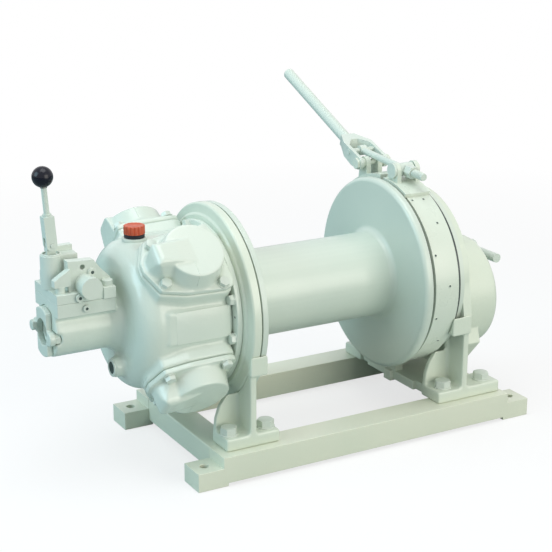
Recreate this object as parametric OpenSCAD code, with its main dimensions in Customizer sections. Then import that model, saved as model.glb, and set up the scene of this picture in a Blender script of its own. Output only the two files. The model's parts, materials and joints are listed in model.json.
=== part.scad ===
/* [Base frame] */
// Distance between the outer faces of the two long rails
frame_w = 412; // [360:1:480]
// Length of the long rails
rail_len = 686; // [600:1:800]
// Width of a rail
rail_w = 63; // [50:1:80]
// Height of a rail
rail_h = 54; // [40:1:70]
// Gap under the rails that the foot pads leave
rail_lift = 6; // [2:1:12]
// Length of a foot pad beyond the rail end
pad_out = 55; // [45:1:80]
// Length of a foot pad under the rail
pad_in = 10; // [5:1:40]
// Height of a foot pad
pad_h = 38; // [25:1:50]
// Diameter of the foundation bolt holes
anchor_hole_d = 18; // [12:0.5:26]
// Width of the two cross beams
cross_w = 60; // [40:1:90]
// Height of the two cross beams
cross_h = 48; // [30:1:54]

/* [Shaft line] */
// Height of the drum shaft above the floor
axis_z = 309; // [300:1:340]

/* [Drum] */
// Diameter of the rope barrel
barrel_d = 180; // [140:1:240]
// Length of the barrel between the flange faces
barrel_len = 362; // [250:1:420]
// Place of the barrel's left end along the frame
barrel_x0 = -240; // [-260:1:-200]
// Diameter of the flange beside the motor
left_flange_d = 398; // [360:1:420]
// Thickness of the flange beside the motor
left_flange_t = 12; // [8:1:16]
// Diameter of the flange beside the brake
right_flange_d = 410; // [380:1:430]
// Thickness of the flange beside the brake
right_flange_t = 18; // [12:1:24]
// Rounding of the rim of the flange beside the brake
flange_round = 10; // [3:1:12]
// Fillet where the barrel meets the flange beside the brake
barrel_fillet = 14; // [4:1:24]
// Diameter of the brake drum that the band grips
brake_drum_d = 376; // [340:1:390]

/* [Brake band] */
// Width of the brake band
band_w = 62; // [40:1:66]
// Thickness of band and lining together
band_t = 9; // [6:0.5:12]
// Gap between band and brake drum
band_gap = 2; // [1:0.5:4]
// Gap between the band's edge and the flange
band_side_gap = 5; // [3:0.5:8]
// Angle of the band's front end behind the top
band_end_front = -1; // [-3:0.5:0]
// Angle of the band's rear end behind the top
band_end_rear = 2; // [1:0.5:6]
// Angle that the rear bracket's base plate reaches behind the top
rear_base_end = 36; // [36:1:42]
// Thickness of the rear bracket's base plate
rear_base_t = 12; // [8:1:14]
// Angle that the front bracket's base plate reaches in front of the top
front_base_end = 25; // [20:1:32]
// Thickness of the front bracket's base plate
front_base_t = 8; // [6:1:10]

/* [Motor side stand] */
// Diameter of the ring that carries the motor
ring_d = 400; // [380:1:420]
// Thickness of the ring at its rim
ring_t = 18; // [12:1:24]
// Gap between the ring and the drum flange
ring_gap = 3; // [2:0.5:6]
// Diameter of the raised collar on the ring
collar_d = 352; // [330:1:370]
// Depth of the raised collar
collar_t = 6; // [3:1:12]
// Length of a foot of this stand along the rail
motor_foot_len = 117; // [100:1:140]

/* [Brake side stand] */
// Diameter of the end plate behind the brake drum
plate_d = 356; // [320:1:380]
// Distance from the shaft line to the end plate's flared lower edge
plate_flare = 190; // [180:1:198]
// Thickness of the end plate
plate_t = 20; // [12:1:28]
// Gap between the band and the end plate
plate_gap = 22; // [12:1:30]
// Length of a foot of this stand along the rail
brake_foot_len = 158; // [130:1:180]
// Place of the rib's middle on this foot from its drum end
brake_rib_at = 66; // [50:1:90]
// Distance of the rib's middle behind the end plate's drum side
brake_rib_in = 13; // [9:1:13]
// Thickness of the beam that ties the two feet
tie_t = 20; // [12:1:24]
// Length of the tie beam's raised middle across the frame
tie_mid = 180; // [120:1:200]
// Distance the tie beam's middle stands out towards the drum
tie_step = 8; // [4:1:14]
// Width of the tab at the middle of the tie beam
tie_tab = 26; // [12:1:32]

/* [Stand legs] */
// Thickness of the foot plates
foot_t = 25; // [16:1:32]
// Width of a foot plate across the rail
foot_w = 65; // [55:1:75]
// Distance from a foot plate's outer edge to the rail's outer face
foot_inset = 21; // [10:1:30]
// Thickness of the leg's rib
rib_t = 14; // [8:1:20]
// Thickness of the wall behind the foot bolts
wall_t = 12; // [8:1:18]
// Height of the block that joins leg and disc
block_h = 42; // [30:1:60]
// Height of the block's top edge above the floor
block_top = 250; // [230:1:270]
// Size across flats of the stand bolts
bolt_af = 30; // [24:1:36]
// Height of a bolt head
bolt_head_h = 13; // [8:1:18]

/* [Air motor] */
// Diameter of the motor's flange
motor_flange_d = 336; // [300:1:345]
// Thickness of the motor's flange
motor_flange_t = 12; // [10:1:16]
// Diameter of the round housing
motor_d = 298; // [260:1:310]
// Length of the housing from flange to end face
motor_len = 185; // [170:1:200]
// Radius of the housing's rounded corner at the end face
motor_round = 44; // [20:1:70]
// Angle by which the whole motor is turned about the shaft line
motor_turn = 3; // [0:0.5:6]
// Distance from the shaft line to the head joint
head_seat = 146; // [138:1:165]
// Distance of the head centre from the ring face along the shaft
head_x = 92; // [86:1:110]
// Length of a head flange along the shaft
head_l = 170; // [156:1:176]
// Width of a head flange across the shaft
head_w = 136; // [120:1:150]
// Thickness of a head flange
head_t = 12; // [8:1:20]
// Thickness of the seat under a head flange
seat_t = 12; // [8:1:20]
// Width that the seat shows around the head flange
seat_lip = 3; // [2:0.5:6]
// Diameter of the head cover's flat top
cover_d = 116; // [100:1:118]
// Slope of the cover's side, as the growth of its radius down to the flange
cover_draft = 7; // [4:1:9]
// Height of the air passage's ridge above the flat top
ridge_h = 9; // [4:1:14]
// Width of the ridge on top
ridge_w = 42; // [30:1:50]
// Distance of the ridge's end from the cover's centre
ridge_l = 89; // [80:1:90]
// Height of the head cover above its flange
cover_h = 38; // [30:1:60]
// Diameter of the oil filler cap
cap_d = 44; // [36:1:52]
// Height of the oil filler cap
cap_h = 24; // [16:1:32]
// Distance of the filler cap's axis from the end face
filler_in = 50; // [45:1:60]
// Height of the filler boss above the housing
filler_h = 5; // [3:1:12]
// Diameter of the drain boss on the end face
drain_d = 40; // [30:1:46]
// Diameter of the open socket in the drain boss
drain_hole_d = 24; // [14:1:28]
// Length of the drain boss out of the end face
drain_out = 20; // [10:1:30]
// Height of the raised side panel
panel_h = 64; // [50:1:80]
// Thickness of the raised side panel over the housing
panel_t = 2; // [1:0.5:4]

/* [Control valve] */
// Diameter of the air duct into the motor
duct_d = 102; // [90:1:110]
// Height of the duct's centre below the shaft line
duct_drop = 6; // [0:1:12]
// Length of the flare at the duct's motor end
flare_l = 24; // [12:1:36]
// Growth of the duct's radius over the flare
flare_r = 13; // [6:1:20]
// Height of the oval inlet flange
inlet_flange_h = 98; // [90:1:110]
// Width of the oval inlet flange
inlet_flange_w = 52; // [46:1:70]
// Thickness of the inlet flange
inlet_flange_t = 12; // [8:1:16]
// Distance of the inlet bolts from the port's centre
inlet_bolt_at = 33; // [32:1:38]
// Length of the air duct
duct_len = 135; // [110:1:160]
// Diameter of the open air inlet
inlet_d = 44; // [34:1:44]
// Depth of the open air inlet
inlet_depth = 60; // [30:1:80]
// Diameter of the vertical spool housing
spool_d = 42; // [34:1:50]
// Height of the spool housing's top above the floor
spool_top = 452; // [440:1:460]
// Width of the valve block across the shaft
block_w = 118; // [100:1:130]
// Length of the valve block along the shaft
block_l = 117; // [100:1:126]
// Height of the valve block's underside above the floor
block_z0 = 343; // [335:1:350]
// Height of the valve block's top above the floor
block_z1 = 388; // [380:1:396]
// Width of the web between valve block and duct
web_w = 84; // [70:1:96]
// Height of the front plate's top above the floor
front_plate_top = 446; // [436:1:452]
// Thickness of the front plate
front_plate_t = 20; // [14:1:26]
// Diameter of the round cap on the front plate
round_cap_d = 42; // [36:1:48]
// Length of the round cap
round_cap_l = 38; // [26:1:46]
// Distance of the spool housing from the duct's outer end
spool_at = 14; // [5:1:30]
// Diameter of the ball knob
knob_d = 40; // [30:1:48]
// Diameter of the control lever's rod
rod_d = 11; // [8:0.5:14]
// Height of the control lever's pivot above the floor
lever_pivot_z = 471; // [468:1:478]
// Width of the control lever's square foot
lever_foot = 21; // [18:1:26]
// Height of the square foot's top above the floor
lever_foot_top = 527; // [510:1:540]
// Diameter of the control lever's pin
lever_pin_d = 8; // [6:0.5:10]
// Thickness of the tongue inside the control lever's foot
tongue_t = 9; // [7:0.5:11]
// Height of the ball knob's centre above the floor
knob_z = 602; // [570:1:630]
// Angle that the control lever leans outwards at rest
lever_lean = 4; // [0:0.5:6]
// Distance of the front plate's face behind the valve block's front
front_plate_in = 16; // [10:1:22]
// Distance of the front plate's edge from the spool housing's axis
front_plate_off = 16; // [12:1:20]
// Length of the front plate along the shaft
front_plate_l = 84; // [76:1:86]
// Diameter of the open hole in the front plate
plate_hole_d = 10; // [6:1:12]
// Length of the wall beside the spool housing
back_wall_l = 49; // [40:1:54]
// Height of the wall behind the spool housing
back_wall_h = 74; // [68:1:80]
// Thickness of the wall behind the spool housing
back_wall_t = 14; // [8:1:18]
// Gap between the control lever's foot and the wall behind it
back_wall_gap = 5.5; // [5:0.5:8]
// Length of the small block at the front of the valve block
lug_block_l = 25; // [18:1:30]
// Height of the pad on the rear of the valve block's top
rear_pad_h = 20; // [10:1:24]

/* [Brake lever] */
// Distance of the lever gear's middle from the band's middle
gear_off = 4; // [0:1:6]
// Distance of the lever's pivot behind the shaft line
pivot_y = 97; // [92:1:102]
// Height of the lever's pivot above the floor
pivot_z = 527; // [524:1:535]
// Width of the fork over its cheeks
fork_w = 70; // [66:1:74]
// Thickness of a cheek of the fork
fork_t = 8; // [6:0.5:9]
// Distance of the fork's root behind the pivot
root_back = 103; // [96:1:112]
// Height of the fork's root above the pivot
root_up = 32; // [28:1:36]
// Diameter of the brake lever's bar
bar_d = 25; // [20:1:28]
// Length of the bar from the fork to its tip
bar_len = 282; // [240:1:320]
// Slope of the bar at rest above the horizontal
bar_slope = 23.3; // [20:0.1:27]
// Diameter of the adjusting rod
adj_rod_d = 15; // [12:0.5:16]
// Diameter of the lever's pins
pin_d = 12; // [8:0.5:14]
// Distance of the rod's pin behind the pivot
rod_pin_back = 37; // [32:1:42]
// Height of the rod's pin above the pivot
rod_pin_up = 18.5; // [17:0.5:24]
// Distance of the trunnion in front of the shaft line
trunnion_front = 30; // [26:1:36]
// Height of the trunnion above the floor
trunnion_z = 535.5; // [532:0.5:540]
// Diameter of the trunnion's barrel
trunnion_d = 28; // [24:1:30]
// Length of the trunnion's barrel
trunnion_l = 32; // [28:1:36]
// Diameter of the disc on the trunnion's end
trunnion_cap_d = 31; // [26:1:34]
// Length of the adjusting rod from its pin
adj_rod_len = 235; // [215:1:250]
// Length of the adjusting nut
nut_l = 20; // [12:1:24]
// Size across flats of the adjusting nut
nut_af = 24; // [20:1:26]
// Gap between the rear bracket's two lugs
lug_gap = 18; // [17.5:0.5:20]
// Thickness of a lug of the rear bracket
lug_t = 11; // [8:1:12]
// Radius of a lug around the pivot
lug_r = 13.5; // [11:0.5:15]
// Thickness of an ear of the front bracket
ear_t = 10; // [7:1:11]
// Radius of an ear around the trunnion
ear_r = 16; // [13:0.5:18]
// Free play of the adjusting rod in the trunnion's hole
rod_play = 1.6; // [1:0.1:2]

/* [Outboard case] */
// Diameter of the round case outside the brake stand
case_d = 244; // [200:1:270]
// Length of the case
case_len = 124; // [90:1:150]
// Height of the case's centre above the floor
case_z = 238; // [210:1:260]
// Rounding of the case's outer edge
case_round = 12; // [4:1:30]
// Width of the sump under the case
sump_w = 240; // [200:1:260]
// Height of the sump's underside above the floor
sump_z = 98; // [90:1:110]
// Length of the sump along the shaft
sump_l = 81; // [60:1:100]
// Distance of the clutch shaft behind the shaft line
clutch_back = 20; // [0:1:30]
// Height of the clutch shaft above the case's centre
clutch_up = 84; // [70:1:86]
// Diameter of the clutch shaft's collar
clutch_hub_d = 40; // [30:1:44]
// Length of the clutch shaft's collar
clutch_hub_l = 12; // [6:1:18]
// Diameter of the stub lever's eye
stub_eye_d = 36; // [28:1:44]
// Length of the stub lever's eye
stub_eye_l = 22; // [20:1:30]
// Diameter of the stub lever's handle
stub_d = 20; // [14:1:20]
// Reach of the stub lever's handle from its shaft
stub_len = 100; // [60:1:130]

/* [Fit] */
// Clearance of a pin or rod in its hole
hole_clear = 0.6; // [0.3:0.1:1.5]
// Gap between curved faces of pieces that move past each other
run_gap = 0.3; // [0.2:0.1:1]

/* [Hidden] */
$fn = 96;
eps = 0.01;
rail_top = rail_lift + rail_h;
rail_y = frame_w / 2 - rail_w / 2;
rail_x1 = rail_len / 2;
pad_hole_x = rail_x1 + pad_out / 2;
foot_top = rail_top + foot_t;
foot_y1 = frame_w / 2 - foot_inset;
foot_y0 = foot_y1 - foot_w;
bolt_y = foot_y1 - (foot_w - wall_t) / 2;
barrel_x1 = barrel_x0 + barrel_len;
left_flange_x = barrel_x0 - left_flange_t;
right_flange_x = barrel_x1 + right_flange_t;
band_x0 = right_flange_x + band_side_gap;
band_x1 = band_x0 + band_w;
band_r0 = brake_drum_d / 2 + band_gap;
band_r1 = band_r0 + band_t;
ring_x1 = left_flange_x - ring_gap;
ring_x0 = ring_x1 - ring_t;
motor_face_x = ring_x0 - collar_t;
housing_x = motor_face_x - motor_flange_t;
motor_end_x = housing_x - motor_len;
plate_x0 = band_x1 + plate_gap;
plate_x1 = plate_x0 + plate_t;
motor_rib_x = ring_x0 + rib_t / 2;
motor_foot_x0 = motor_rib_x - motor_foot_len / 2;
brake_rib_x = plate_x0 + brake_rib_in;
brake_foot_x0 = brake_rib_x - brake_rib_at;
case_x1 = plate_x1 + case_len;
band_x = (band_x0 + band_x1) / 2;
valve_x = motor_end_x - duct_len;
duct_z = axis_z - duct_drop;
drain_y = -36;
drain_z = axis_z - 90;
filler_x = motor_end_x + filler_in;
filler_z = axis_z + motor_d / 2 + filler_h;
lever_x = valve_x + spool_at;
head_turn = 45 - motor_turn;
flange_top = head_seat + seat_t + head_t;
head_cx = ring_x0 - head_x;
gear_x = band_x + gear_off;
trunnion_y = -trunnion_front;
rod_pin_y = pivot_y + rod_pin_back;
rod_pin_z = pivot_z + rod_pin_up;
root_y = pivot_y + root_back;
root_z = pivot_z + root_up;
rod_slope = atan2(rod_pin_z - trunnion_z, rod_pin_y - trunnion_y);
rod_run = norm([rod_pin_y - trunnion_y, rod_pin_z - trunnion_z]);
eye_w = adj_rod_d + 1;
fork_x1 = fork_w / 2;
fork_x0 = fork_x1 - fork_t;
lug_x0 = lug_gap / 2;
lug_x1 = lug_x0 + lug_t;
ear_x0 = trunnion_l / 2 + 2;
ear_x1 = ear_x0 + ear_t;

// The sub-part to draw

// A rail with its two foot pads, drawn on the front side
module rail() {
    difference() {
        union() {
            translate([-rail_x1, -rail_y - rail_w / 2, rail_lift])
                cube([rail_len, rail_w, rail_h]);
            for (s = [-1, 1])
                translate([s * (rail_x1 + (pad_out - pad_in) / 2), -rail_y, pad_h / 2])
                    cube([pad_out + pad_in, rail_w, pad_h], center = true);
        }
        for (s = [-1, 1])
            translate([s * pad_hole_x, -rail_y, -1])
                cylinder(d = anchor_hole_d, h = pad_h + 2);
    }
}

module rail_front() {
    color("#cfe0d8") rail();
}

module rail_rear() {
    color("#cfe0d8") mirror([0, 1, 0]) rail();
}

// A cross beam between the rails, flush with their ends
module cross_beam(side) {
    inner = frame_w / 2 - rail_w;
    translate([side * (rail_x1 - cross_w / 2), 0, rail_top - cross_h / 2])
        cube([cross_w, 2 * inner, cross_h], center = true);
}

module cross_beam_motor() {
    color("#c6d8d0") cross_beam(-1);
}

module cross_beam_brake() {
    color("#c6d8d0") cross_beam(1);
}

// The ring that the motor bolts to, with its raised collar
module motor_ring() {
    color("#d6e6de")
    translate([0, 0, axis_z]) rotate([0, 90, 0])
        rotate_extrude($fn = 180)
            polygon([[0, motor_face_x], [collar_d / 2, motor_face_x],
                [collar_d / 2 + 4, ring_x0 - 2], [ring_d / 2 - 3, ring_x0],
                [ring_d / 2, ring_x0 + 3], [ring_d / 2, ring_x1], [0, ring_x1]]);
}

// A foot plate with its rib, wall and top block, drawn on the front side
module leg(foot_x, foot_len, rib_x, wall_right, block_x0, block_x1, disc_r, cut_x1) {
    rib_x0 = rib_x - rib_t / 2;
    rib_x1 = rib_x + rib_t / 2;
    block_z = block_top - block_h;
    difference() {
        union() {
            translate([foot_x, -foot_y1, rail_top])
                cube([foot_len, foot_w, foot_t]);
            translate([rib_x0, -foot_y1, foot_top - eps])
                cube([rib_t, foot_w - eps, block_top - foot_top]);
            translate([0, -foot_y0, 0]) rotate([90, 0, 0])
                linear_extrude(wall_t)
                    polygon([[foot_x + 1, foot_top - eps], [foot_x + 3, foot_top + 24],
                        [foot_x + 12, foot_top + 50], [foot_x + 24, foot_top + 66],
                        [block_x0 - 2, block_z - 20], [block_x0, block_z],
                        [block_x0, block_z + 8], [rib_x1 - 1, block_z + 8],
                        [rib_x1 - 1, foot_top + 110], [rib_x1 + wall_right, foot_top + 105],
                        [rib_x1 + wall_right + 2, foot_top - eps]]);
            translate([block_x0, -foot_y1 - 8, block_z])
                cube([block_x1 - block_x0, foot_w + 8 + eps, block_h]);
        }
        translate([foot_x - 20, 0, axis_z]) rotate([0, 90, 0])
            cylinder(r = disc_r, h = cut_x1 - foot_x + 20, $fn = 180);
    }
}

module motor_leg_front() {
    color("#d0e2da") leg(motor_foot_x0, motor_foot_len, motor_rib_x, 16, ring_x0 - 3,
        barrel_x0 + 2, ring_d / 2 + run_gap, barrel_x0 + 10);
}

module motor_leg_rear() {
    color("#d0e2da") mirror([0, 1, 0]) leg(motor_foot_x0, motor_foot_len, motor_rib_x, 16,
        ring_x0 - 3, barrel_x0 + 2, ring_d / 2 + run_gap, barrel_x0 + 10);
}

// The round end plate of the brake side stand with its two flared shoulders
module end_plate_solid() {
    shoulder = block_top - axis_z;
    translate([plate_x0, 0, axis_z]) rotate([90, 0, 90])
        linear_extrude(plate_t)
            union() {
                circle(d = plate_d, $fn = 180);
                for (s = [0, 1]) mirror([s, 0])
                    polygon([[0, 0], [plate_d / 2 - 6, 20], [plate_d / 2 + 3, -8],
                        [plate_flare, shoulder], [plate_flare, shoulder - block_h],
                        [foot_y0, shoulder - block_h]]);
            }
}

module end_plate() {
    color("#d6e6de") end_plate_solid();
}

// A leg of the brake side stand, cut to the end plate
module brake_leg() {
    difference() {
        leg(brake_foot_x0, brake_foot_len, brake_rib_x, 0, band_x1 - 6, plate_x1,
            band_r1 + 1.5, plate_x0);
        end_plate_solid();
    }
}

module brake_leg_front() {
    color("#d0e2da") brake_leg();
}

module brake_leg_rear() {
    color("#d0e2da") mirror([0, 1, 0]) brake_leg();
}

// The beam under the brake drum that ties the two brake side feet
module tie_beam() {
    color("#c8dad2")
    union() {
        translate([brake_foot_x0 + tie_step, -foot_y0, rail_top])
            cube([brake_foot_len - 40, 2 * foot_y0, tie_t]);
        translate([brake_foot_x0, -tie_mid / 2, rail_top])
            cube([60, tie_mid, tie_t]);
        translate([brake_foot_x0 - tie_step, -tie_tab / 2, rail_top - 4])
            cube([40, tie_tab, tie_t + 4]);
        translate([brake_foot_x0, -20, rail_top])
            cube([band_x1 - 10 - brake_foot_x0, 40, axis_z - band_r1 - run_gap - rail_top]);
    }
}

// The eight hexagon bolts that hold the stand feet down
module stand_bolts() {
    color("#c9dbd3")
    for (x = [motor_rib_x - 42, motor_rib_x + 40, brake_rib_x - 38, brake_rib_x + 62])
        for (s = [-1, 1])
            translate([x, s * bolt_y, foot_top]) {
                cylinder(d = bolt_af * 1.22, h = 3);
                translate([0, 0, 3 - eps])
                    cylinder(d = bolt_af / cos(30), h = bolt_head_h, $fn = 6);
            }
}

module motor_flange() {
    color("#d2e4dc")
    translate([housing_x, 0, axis_z]) rotate([0, 90, 0])
        cylinder(d = motor_flange_d, h = motor_flange_t, $fn = 180);
}

// The round housing with its rounded outer corner
module motor_housing() {
    color("#d8e8e0")
    difference() {
        union() {
            translate([motor_end_x, 0, axis_z]) rotate([0, 90, 0])
                rotate_extrude($fn = 180)
                    union() {
                        square([motor_d / 2 - motor_round, motor_len]);
                        translate([0, motor_round])
                            square([motor_d / 2, motor_len - motor_round]);
                        intersection() {
                            translate([motor_d / 2 - motor_round, motor_round])
                                circle(motor_round);
                            square([motor_d / 2, motor_len]);
                        }
                    }
            for (s = [-1, 1])
                translate([head_cx, 0, axis_z]) rotate([-motor_turn, 0, 0])
                    translate([0, s * (motor_d / 2 + panel_t - 10), 0])
                        cube([122, 20, panel_h], center = true);
            translate([motor_end_x - drain_out, drain_y, drain_z]) rotate([0, 90, 0])
                cylinder(d = drain_d, h = drain_out + motor_round);
        }
        translate([motor_end_x - drain_out - 1, drain_y, drain_z]) rotate([0, 90, 0])
            cylinder(d = drain_hole_d, h = drain_out * 0.7 + 1);
    }
}

// Outline of a head flange, pointed towards the valve end
module head_outline(lip) {
    half = head_w / 2 + lip;
    x0 = -head_l * 0.57 - lip / 2;
    x1 = head_l * 0.43;
    polygon([[x0, -10], [x0 + 21, -half + 12], [x0 + 72, -half],
        [x1 - 19, -half - 3], [x1 - 5, -half + 2], [x1, -half + 14],
        [x1, half - 14], [x1 - 5, half - 2], [x1 - 19, half + 3],
        [x0 + 72, half], [x0 + 21, half - 12], [x0, 10]]);
}

// The rounded ridge over the air passage, from the flange up
module head_ridge() {
    top = cover_h + ridge_h;
    intersection() {
        linear_extrude(top + 20) union() {
            translate([-ridge_l + ridge_w * 0.85, 0]) circle(ridge_w * 0.85);
            translate([-ridge_l + ridge_w * 0.85, -ridge_w * 0.84])
                square([70, ridge_w * 1.68]);
        }
        rotate([90, 0, 90]) translate([0, 0, -100]) linear_extrude(200)
            polygon([[-ridge_w / 2 - 16, 0], [-ridge_w / 2 - 5, top - 9],
                [-ridge_w / 2, top - 2.5], [-ridge_w / 2 + 6, top],
                [ridge_w / 2 - 6, top], [ridge_w / 2, top - 2.5],
                [ridge_w / 2 + 5, top - 9], [ridge_w / 2 + 16, 0]]);
        rotate([90, 0, 0]) translate([0, 0, -100]) linear_extrude(200)
            polygon([[-ridge_l, 0], [-ridge_l + 4, top - 16], [-ridge_l + 8, top - 6],
                [-ridge_l + 13, top - 1.5], [-ridge_l + 19, top], [-36, top - 3],
                [2, cover_h - 1], [2, 0]]);
    }
}

// A cylinder head in its own frame, standing up from its seat
module head() {
    translate([0, 0, -24]) linear_extrude(24 + seat_t) head_outline(seat_lip);
    translate([0, 0, seat_t - eps]) linear_extrude(head_t + eps) head_outline(0);
    translate([0, 0, seat_t + head_t - eps]) {
        cylinder(d1 = cover_d + 2 * cover_draft, d2 = cover_d, h = cover_h, $fn = 120);
        head_ridge();
    }
}

module place_head(angle) {
    translate([head_cx, 0, axis_z]) rotate([angle, 0, 0])
        translate([0, 0, head_seat]) children();
}

// The housing's round bulk, used to trim what seats on it
module housing_bulk() {
    translate([motor_end_x - 1, 0, axis_z]) rotate([0, 90, 0])
        cylinder(d = motor_d, h = motor_len + 1, $fn = 180);
}

module head_at(angle) {
    difference() {
        place_head(angle) head();
        housing_bulk();
        translate([housing_x - run_gap, 0, axis_z]) rotate([0, 90, 0])
            cylinder(d = motor_flange_d + 20, h = 60, $fn = 180);
    }
}

module head_front_top() {
    color("#dbeae2") head_at(head_turn);
}

module head_front_low() {
    color("#dbeae2") head_at(90 + head_turn);
}

module head_rear_top() {
    color("#dbeae2") head_at(head_turn - 90);
}

module head_rear_low() {
    color("#dbeae2") head_at(head_turn + 180);
}

module filler_boss() {
    color("#d8e8e0")
    difference() {
        translate([filler_x, 0, filler_z - 24]) cylinder(d = cap_d + 6, h = 24);
        housing_bulk();
    }
}

module filler_cap() {
    color("#e0563c")
    translate([filler_x, 0, filler_z]) cylinder(d = cap_d, h = cap_h);
}

module air_duct() {
    color("#d0e2da")
    translate([valve_x, 0, duct_z]) rotate([0, 90, 0])
        difference() {
            union() {
                cylinder(d = duct_d, h = duct_len);
                translate([0, 0, duct_len - flare_l])
                    cylinder(r1 = duct_d / 2, r2 = duct_d / 2 + flare_r, h = flare_l);
            }
            translate([0, 0, -1]) cylinder(d = inlet_d, h = inlet_depth + 1);
        }
}

module inlet_flange() {
    color("#cadcd4")
    translate([valve_x - inlet_flange_t, 0, duct_z]) rotate([0, 90, 0]) {
        difference() {
            linear_extrude(inlet_flange_t) union() {
                intersection() {
                    circle(d = inlet_flange_h);
                    square([inlet_flange_h + 2, inlet_flange_w], center = true);
                }
                rotate([0, 0, 10]) union() {
                    for (s = [-1, 1]) translate([0, s * inlet_bolt_at]) circle(d = 28);
                    square([26, 2 * inlet_bolt_at], center = true);
                }
            }
            translate([0, 0, -1]) cylinder(d = inlet_d, h = inlet_flange_t + 2);
        }
        rotate([0, 0, 10]) translate([0, inlet_bolt_at, -8]) cylinder(d = 20, h = 8 + eps, $fn = 6);
    }
}

module valve_block() {
    translate([valve_x, -block_w / 2, block_z0])
        cube([block_l, block_w, block_z1 - block_z0]);
}

module valve_body() {
    color("#d4e5dd")
    difference() {
        union() {
            valve_block();
            translate([valve_x + block_l - lug_block_l, -block_w / 2 - 4, block_z0 + 26])
                cube([lug_block_l, 14, block_z1 - block_z0 - 22]);
            translate([lever_x - 4, block_w / 2 - 21, block_z1 - eps])
                cube([40, 18, rear_pad_h]);
            translate([valve_x, -web_w / 2, duct_z])
                cube([duct_len - flare_l / 2, web_w, block_z0 - duct_z + eps]);
        }
        translate([valve_x - 1, 0, duct_z]) rotate([0, 90, 0])
            cylinder(d = duct_d, h = duct_len + 2);
        translate([valve_x + duct_len - flare_l, 0, duct_z]) rotate([0, 90, 0])
            cylinder(r1 = duct_d / 2, r2 = duct_d / 2 + flare_r, h = flare_l);
    }
}

module spool_housing() {
    wall_y = lever_foot / 2 + back_wall_gap;
    color("#d6e6de")
    union() {
        translate([lever_x, 0, block_z1]) cylinder(d = spool_d, h = spool_top - block_z1);
        translate([lever_x, -spool_d / 4, block_z1])
            cube([back_wall_l, wall_y + spool_d / 4, spool_top - block_z1 - 1]);
        translate([lever_x - 2, wall_y - eps, block_z1])
            cube([back_wall_l + 2, back_wall_t, back_wall_h]);
    }
}

module valve_front_plate() {
    front = -block_w / 2 + front_plate_in;
    x0 = lever_x + front_plate_off;
    x1 = x0 + front_plate_l;
    color("#d8e8e0")
    difference() {
        union() {
            translate([0, front + front_plate_t, 0]) rotate([90, 0, 0])
                linear_extrude(front_plate_t)
                    polygon([[x0, block_z1], [x0, front_plate_top],
                        [x1 - 32, front_plate_top - 3], [x1 - 18, front_plate_top - 22],
                        [x1, front_plate_top - 40], [x1, block_z1]]);
            translate([x0 + 33, front + 1, block_z1 + 10]) rotate([90, 0, 0])
                cylinder(d = round_cap_d, h = round_cap_l);
            translate([x0 + 24, front + 2, block_z1])
                cube([front_plate_l - 30, -front - 2 - spool_d / 4, 24]);
            translate([0, front + 9, 0]) rotate([90, 0, 0]) linear_extrude(16)
                polygon([[x0 - 30, block_z1 + 12], [x0 - 30, block_z1 + 25],
                    [x0 - 18, block_z1 + 33], [x0 + 2, block_z1 + 45],
                    [x0 + 2, block_z1 + 12]]);
            translate([x0 - 16, front + 1, block_z1]) cylinder(d = 18, h = 13);
        }
        valve_block();
        translate([x0 + 29, front + front_plate_t + 1, front_plate_top - 14])
            rotate([90, 0, 0]) cylinder(d = plate_hole_d, h = front_plate_t + 2);
    }
}

module lever_clevis() {
    color("#cfe0d8")
    translate([lever_x, 0, 0]) {
        translate([0, tongue_t / 2, 0]) rotate([90, 0, 0]) linear_extrude(tongue_t)
            union() {
                translate([0, lever_pivot_z]) circle(9);
                translate([-8.5, spool_top]) square([17, lever_pivot_z - spool_top]);
            }
        translate([0, -lever_foot / 2 - 2, lever_pivot_z]) rotate([-90, 0, 0])
            cylinder(d = lever_pin_d, h = lever_foot + 4);
    }
}

module control_lever() {
    color("#d0e2da")
    translate([lever_x, 0, lever_pivot_z]) rotate([0, -lever_lean, 0])
    difference() {
        union() {
            translate([-lever_foot / 2, -lever_foot / 2, 0])
                cube([lever_foot, lever_foot, lever_foot_top - lever_pivot_z]);
            translate([0, -lever_foot / 2, 0]) rotate([-90, 0, 0])
                cylinder(d = lever_foot - eps, h = lever_foot);
            translate([0, 0, lever_foot_top - lever_pivot_z - eps])
                cylinder(d = lever_foot - 4, h = 4);
            cylinder(d = rod_d, h = knob_z - lever_pivot_z - knob_d / 2 + 1);
        }
        translate([-lever_foot, -tongue_t / 2 - run_gap, -lever_foot])
            cube([2 * lever_foot, tongue_t + 2 * run_gap, lever_foot + 15]);
        translate([0, -lever_foot, 0]) rotate([-90, 0, 0])
            cylinder(d = lever_pin_d + hole_clear, h = 2 * lever_foot);
    }
}

module ball_knob() {
    color("#20232a")
    translate([lever_x, 0, lever_pivot_z]) rotate([0, -lever_lean, 0])
        translate([0, 0, knob_z - lever_pivot_z]) difference() {
            sphere(d = knob_d);
            translate([0, 0, -knob_d]) cylinder(d = rod_d, h = knob_d - knob_d / 2 + 1);
        }
}

module drum_barrel() {
    color("#dceae0")
    translate([barrel_x0, 0, axis_z]) rotate([0, 90, 0])
        rotate_extrude($fn = 180)
            difference() {
                square([barrel_d / 2 + barrel_fillet, barrel_len]);
                translate([barrel_d / 2, -1])
                    square([barrel_fillet + 1, barrel_len - barrel_fillet + 1]);
                translate([barrel_d / 2 + barrel_fillet, barrel_len - barrel_fillet])
                    circle(barrel_fillet);
            }
}

module drum_left_flange() {
    color("#dceae0")
    translate([left_flange_x, 0, axis_z]) rotate([0, 90, 0]) {
        cylinder(d = left_flange_d, h = left_flange_t, $fn = 180);
        translate([0, 0, run_gap - ring_gap]) cylinder(d = 120, h = ring_gap);
    }
}

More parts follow.
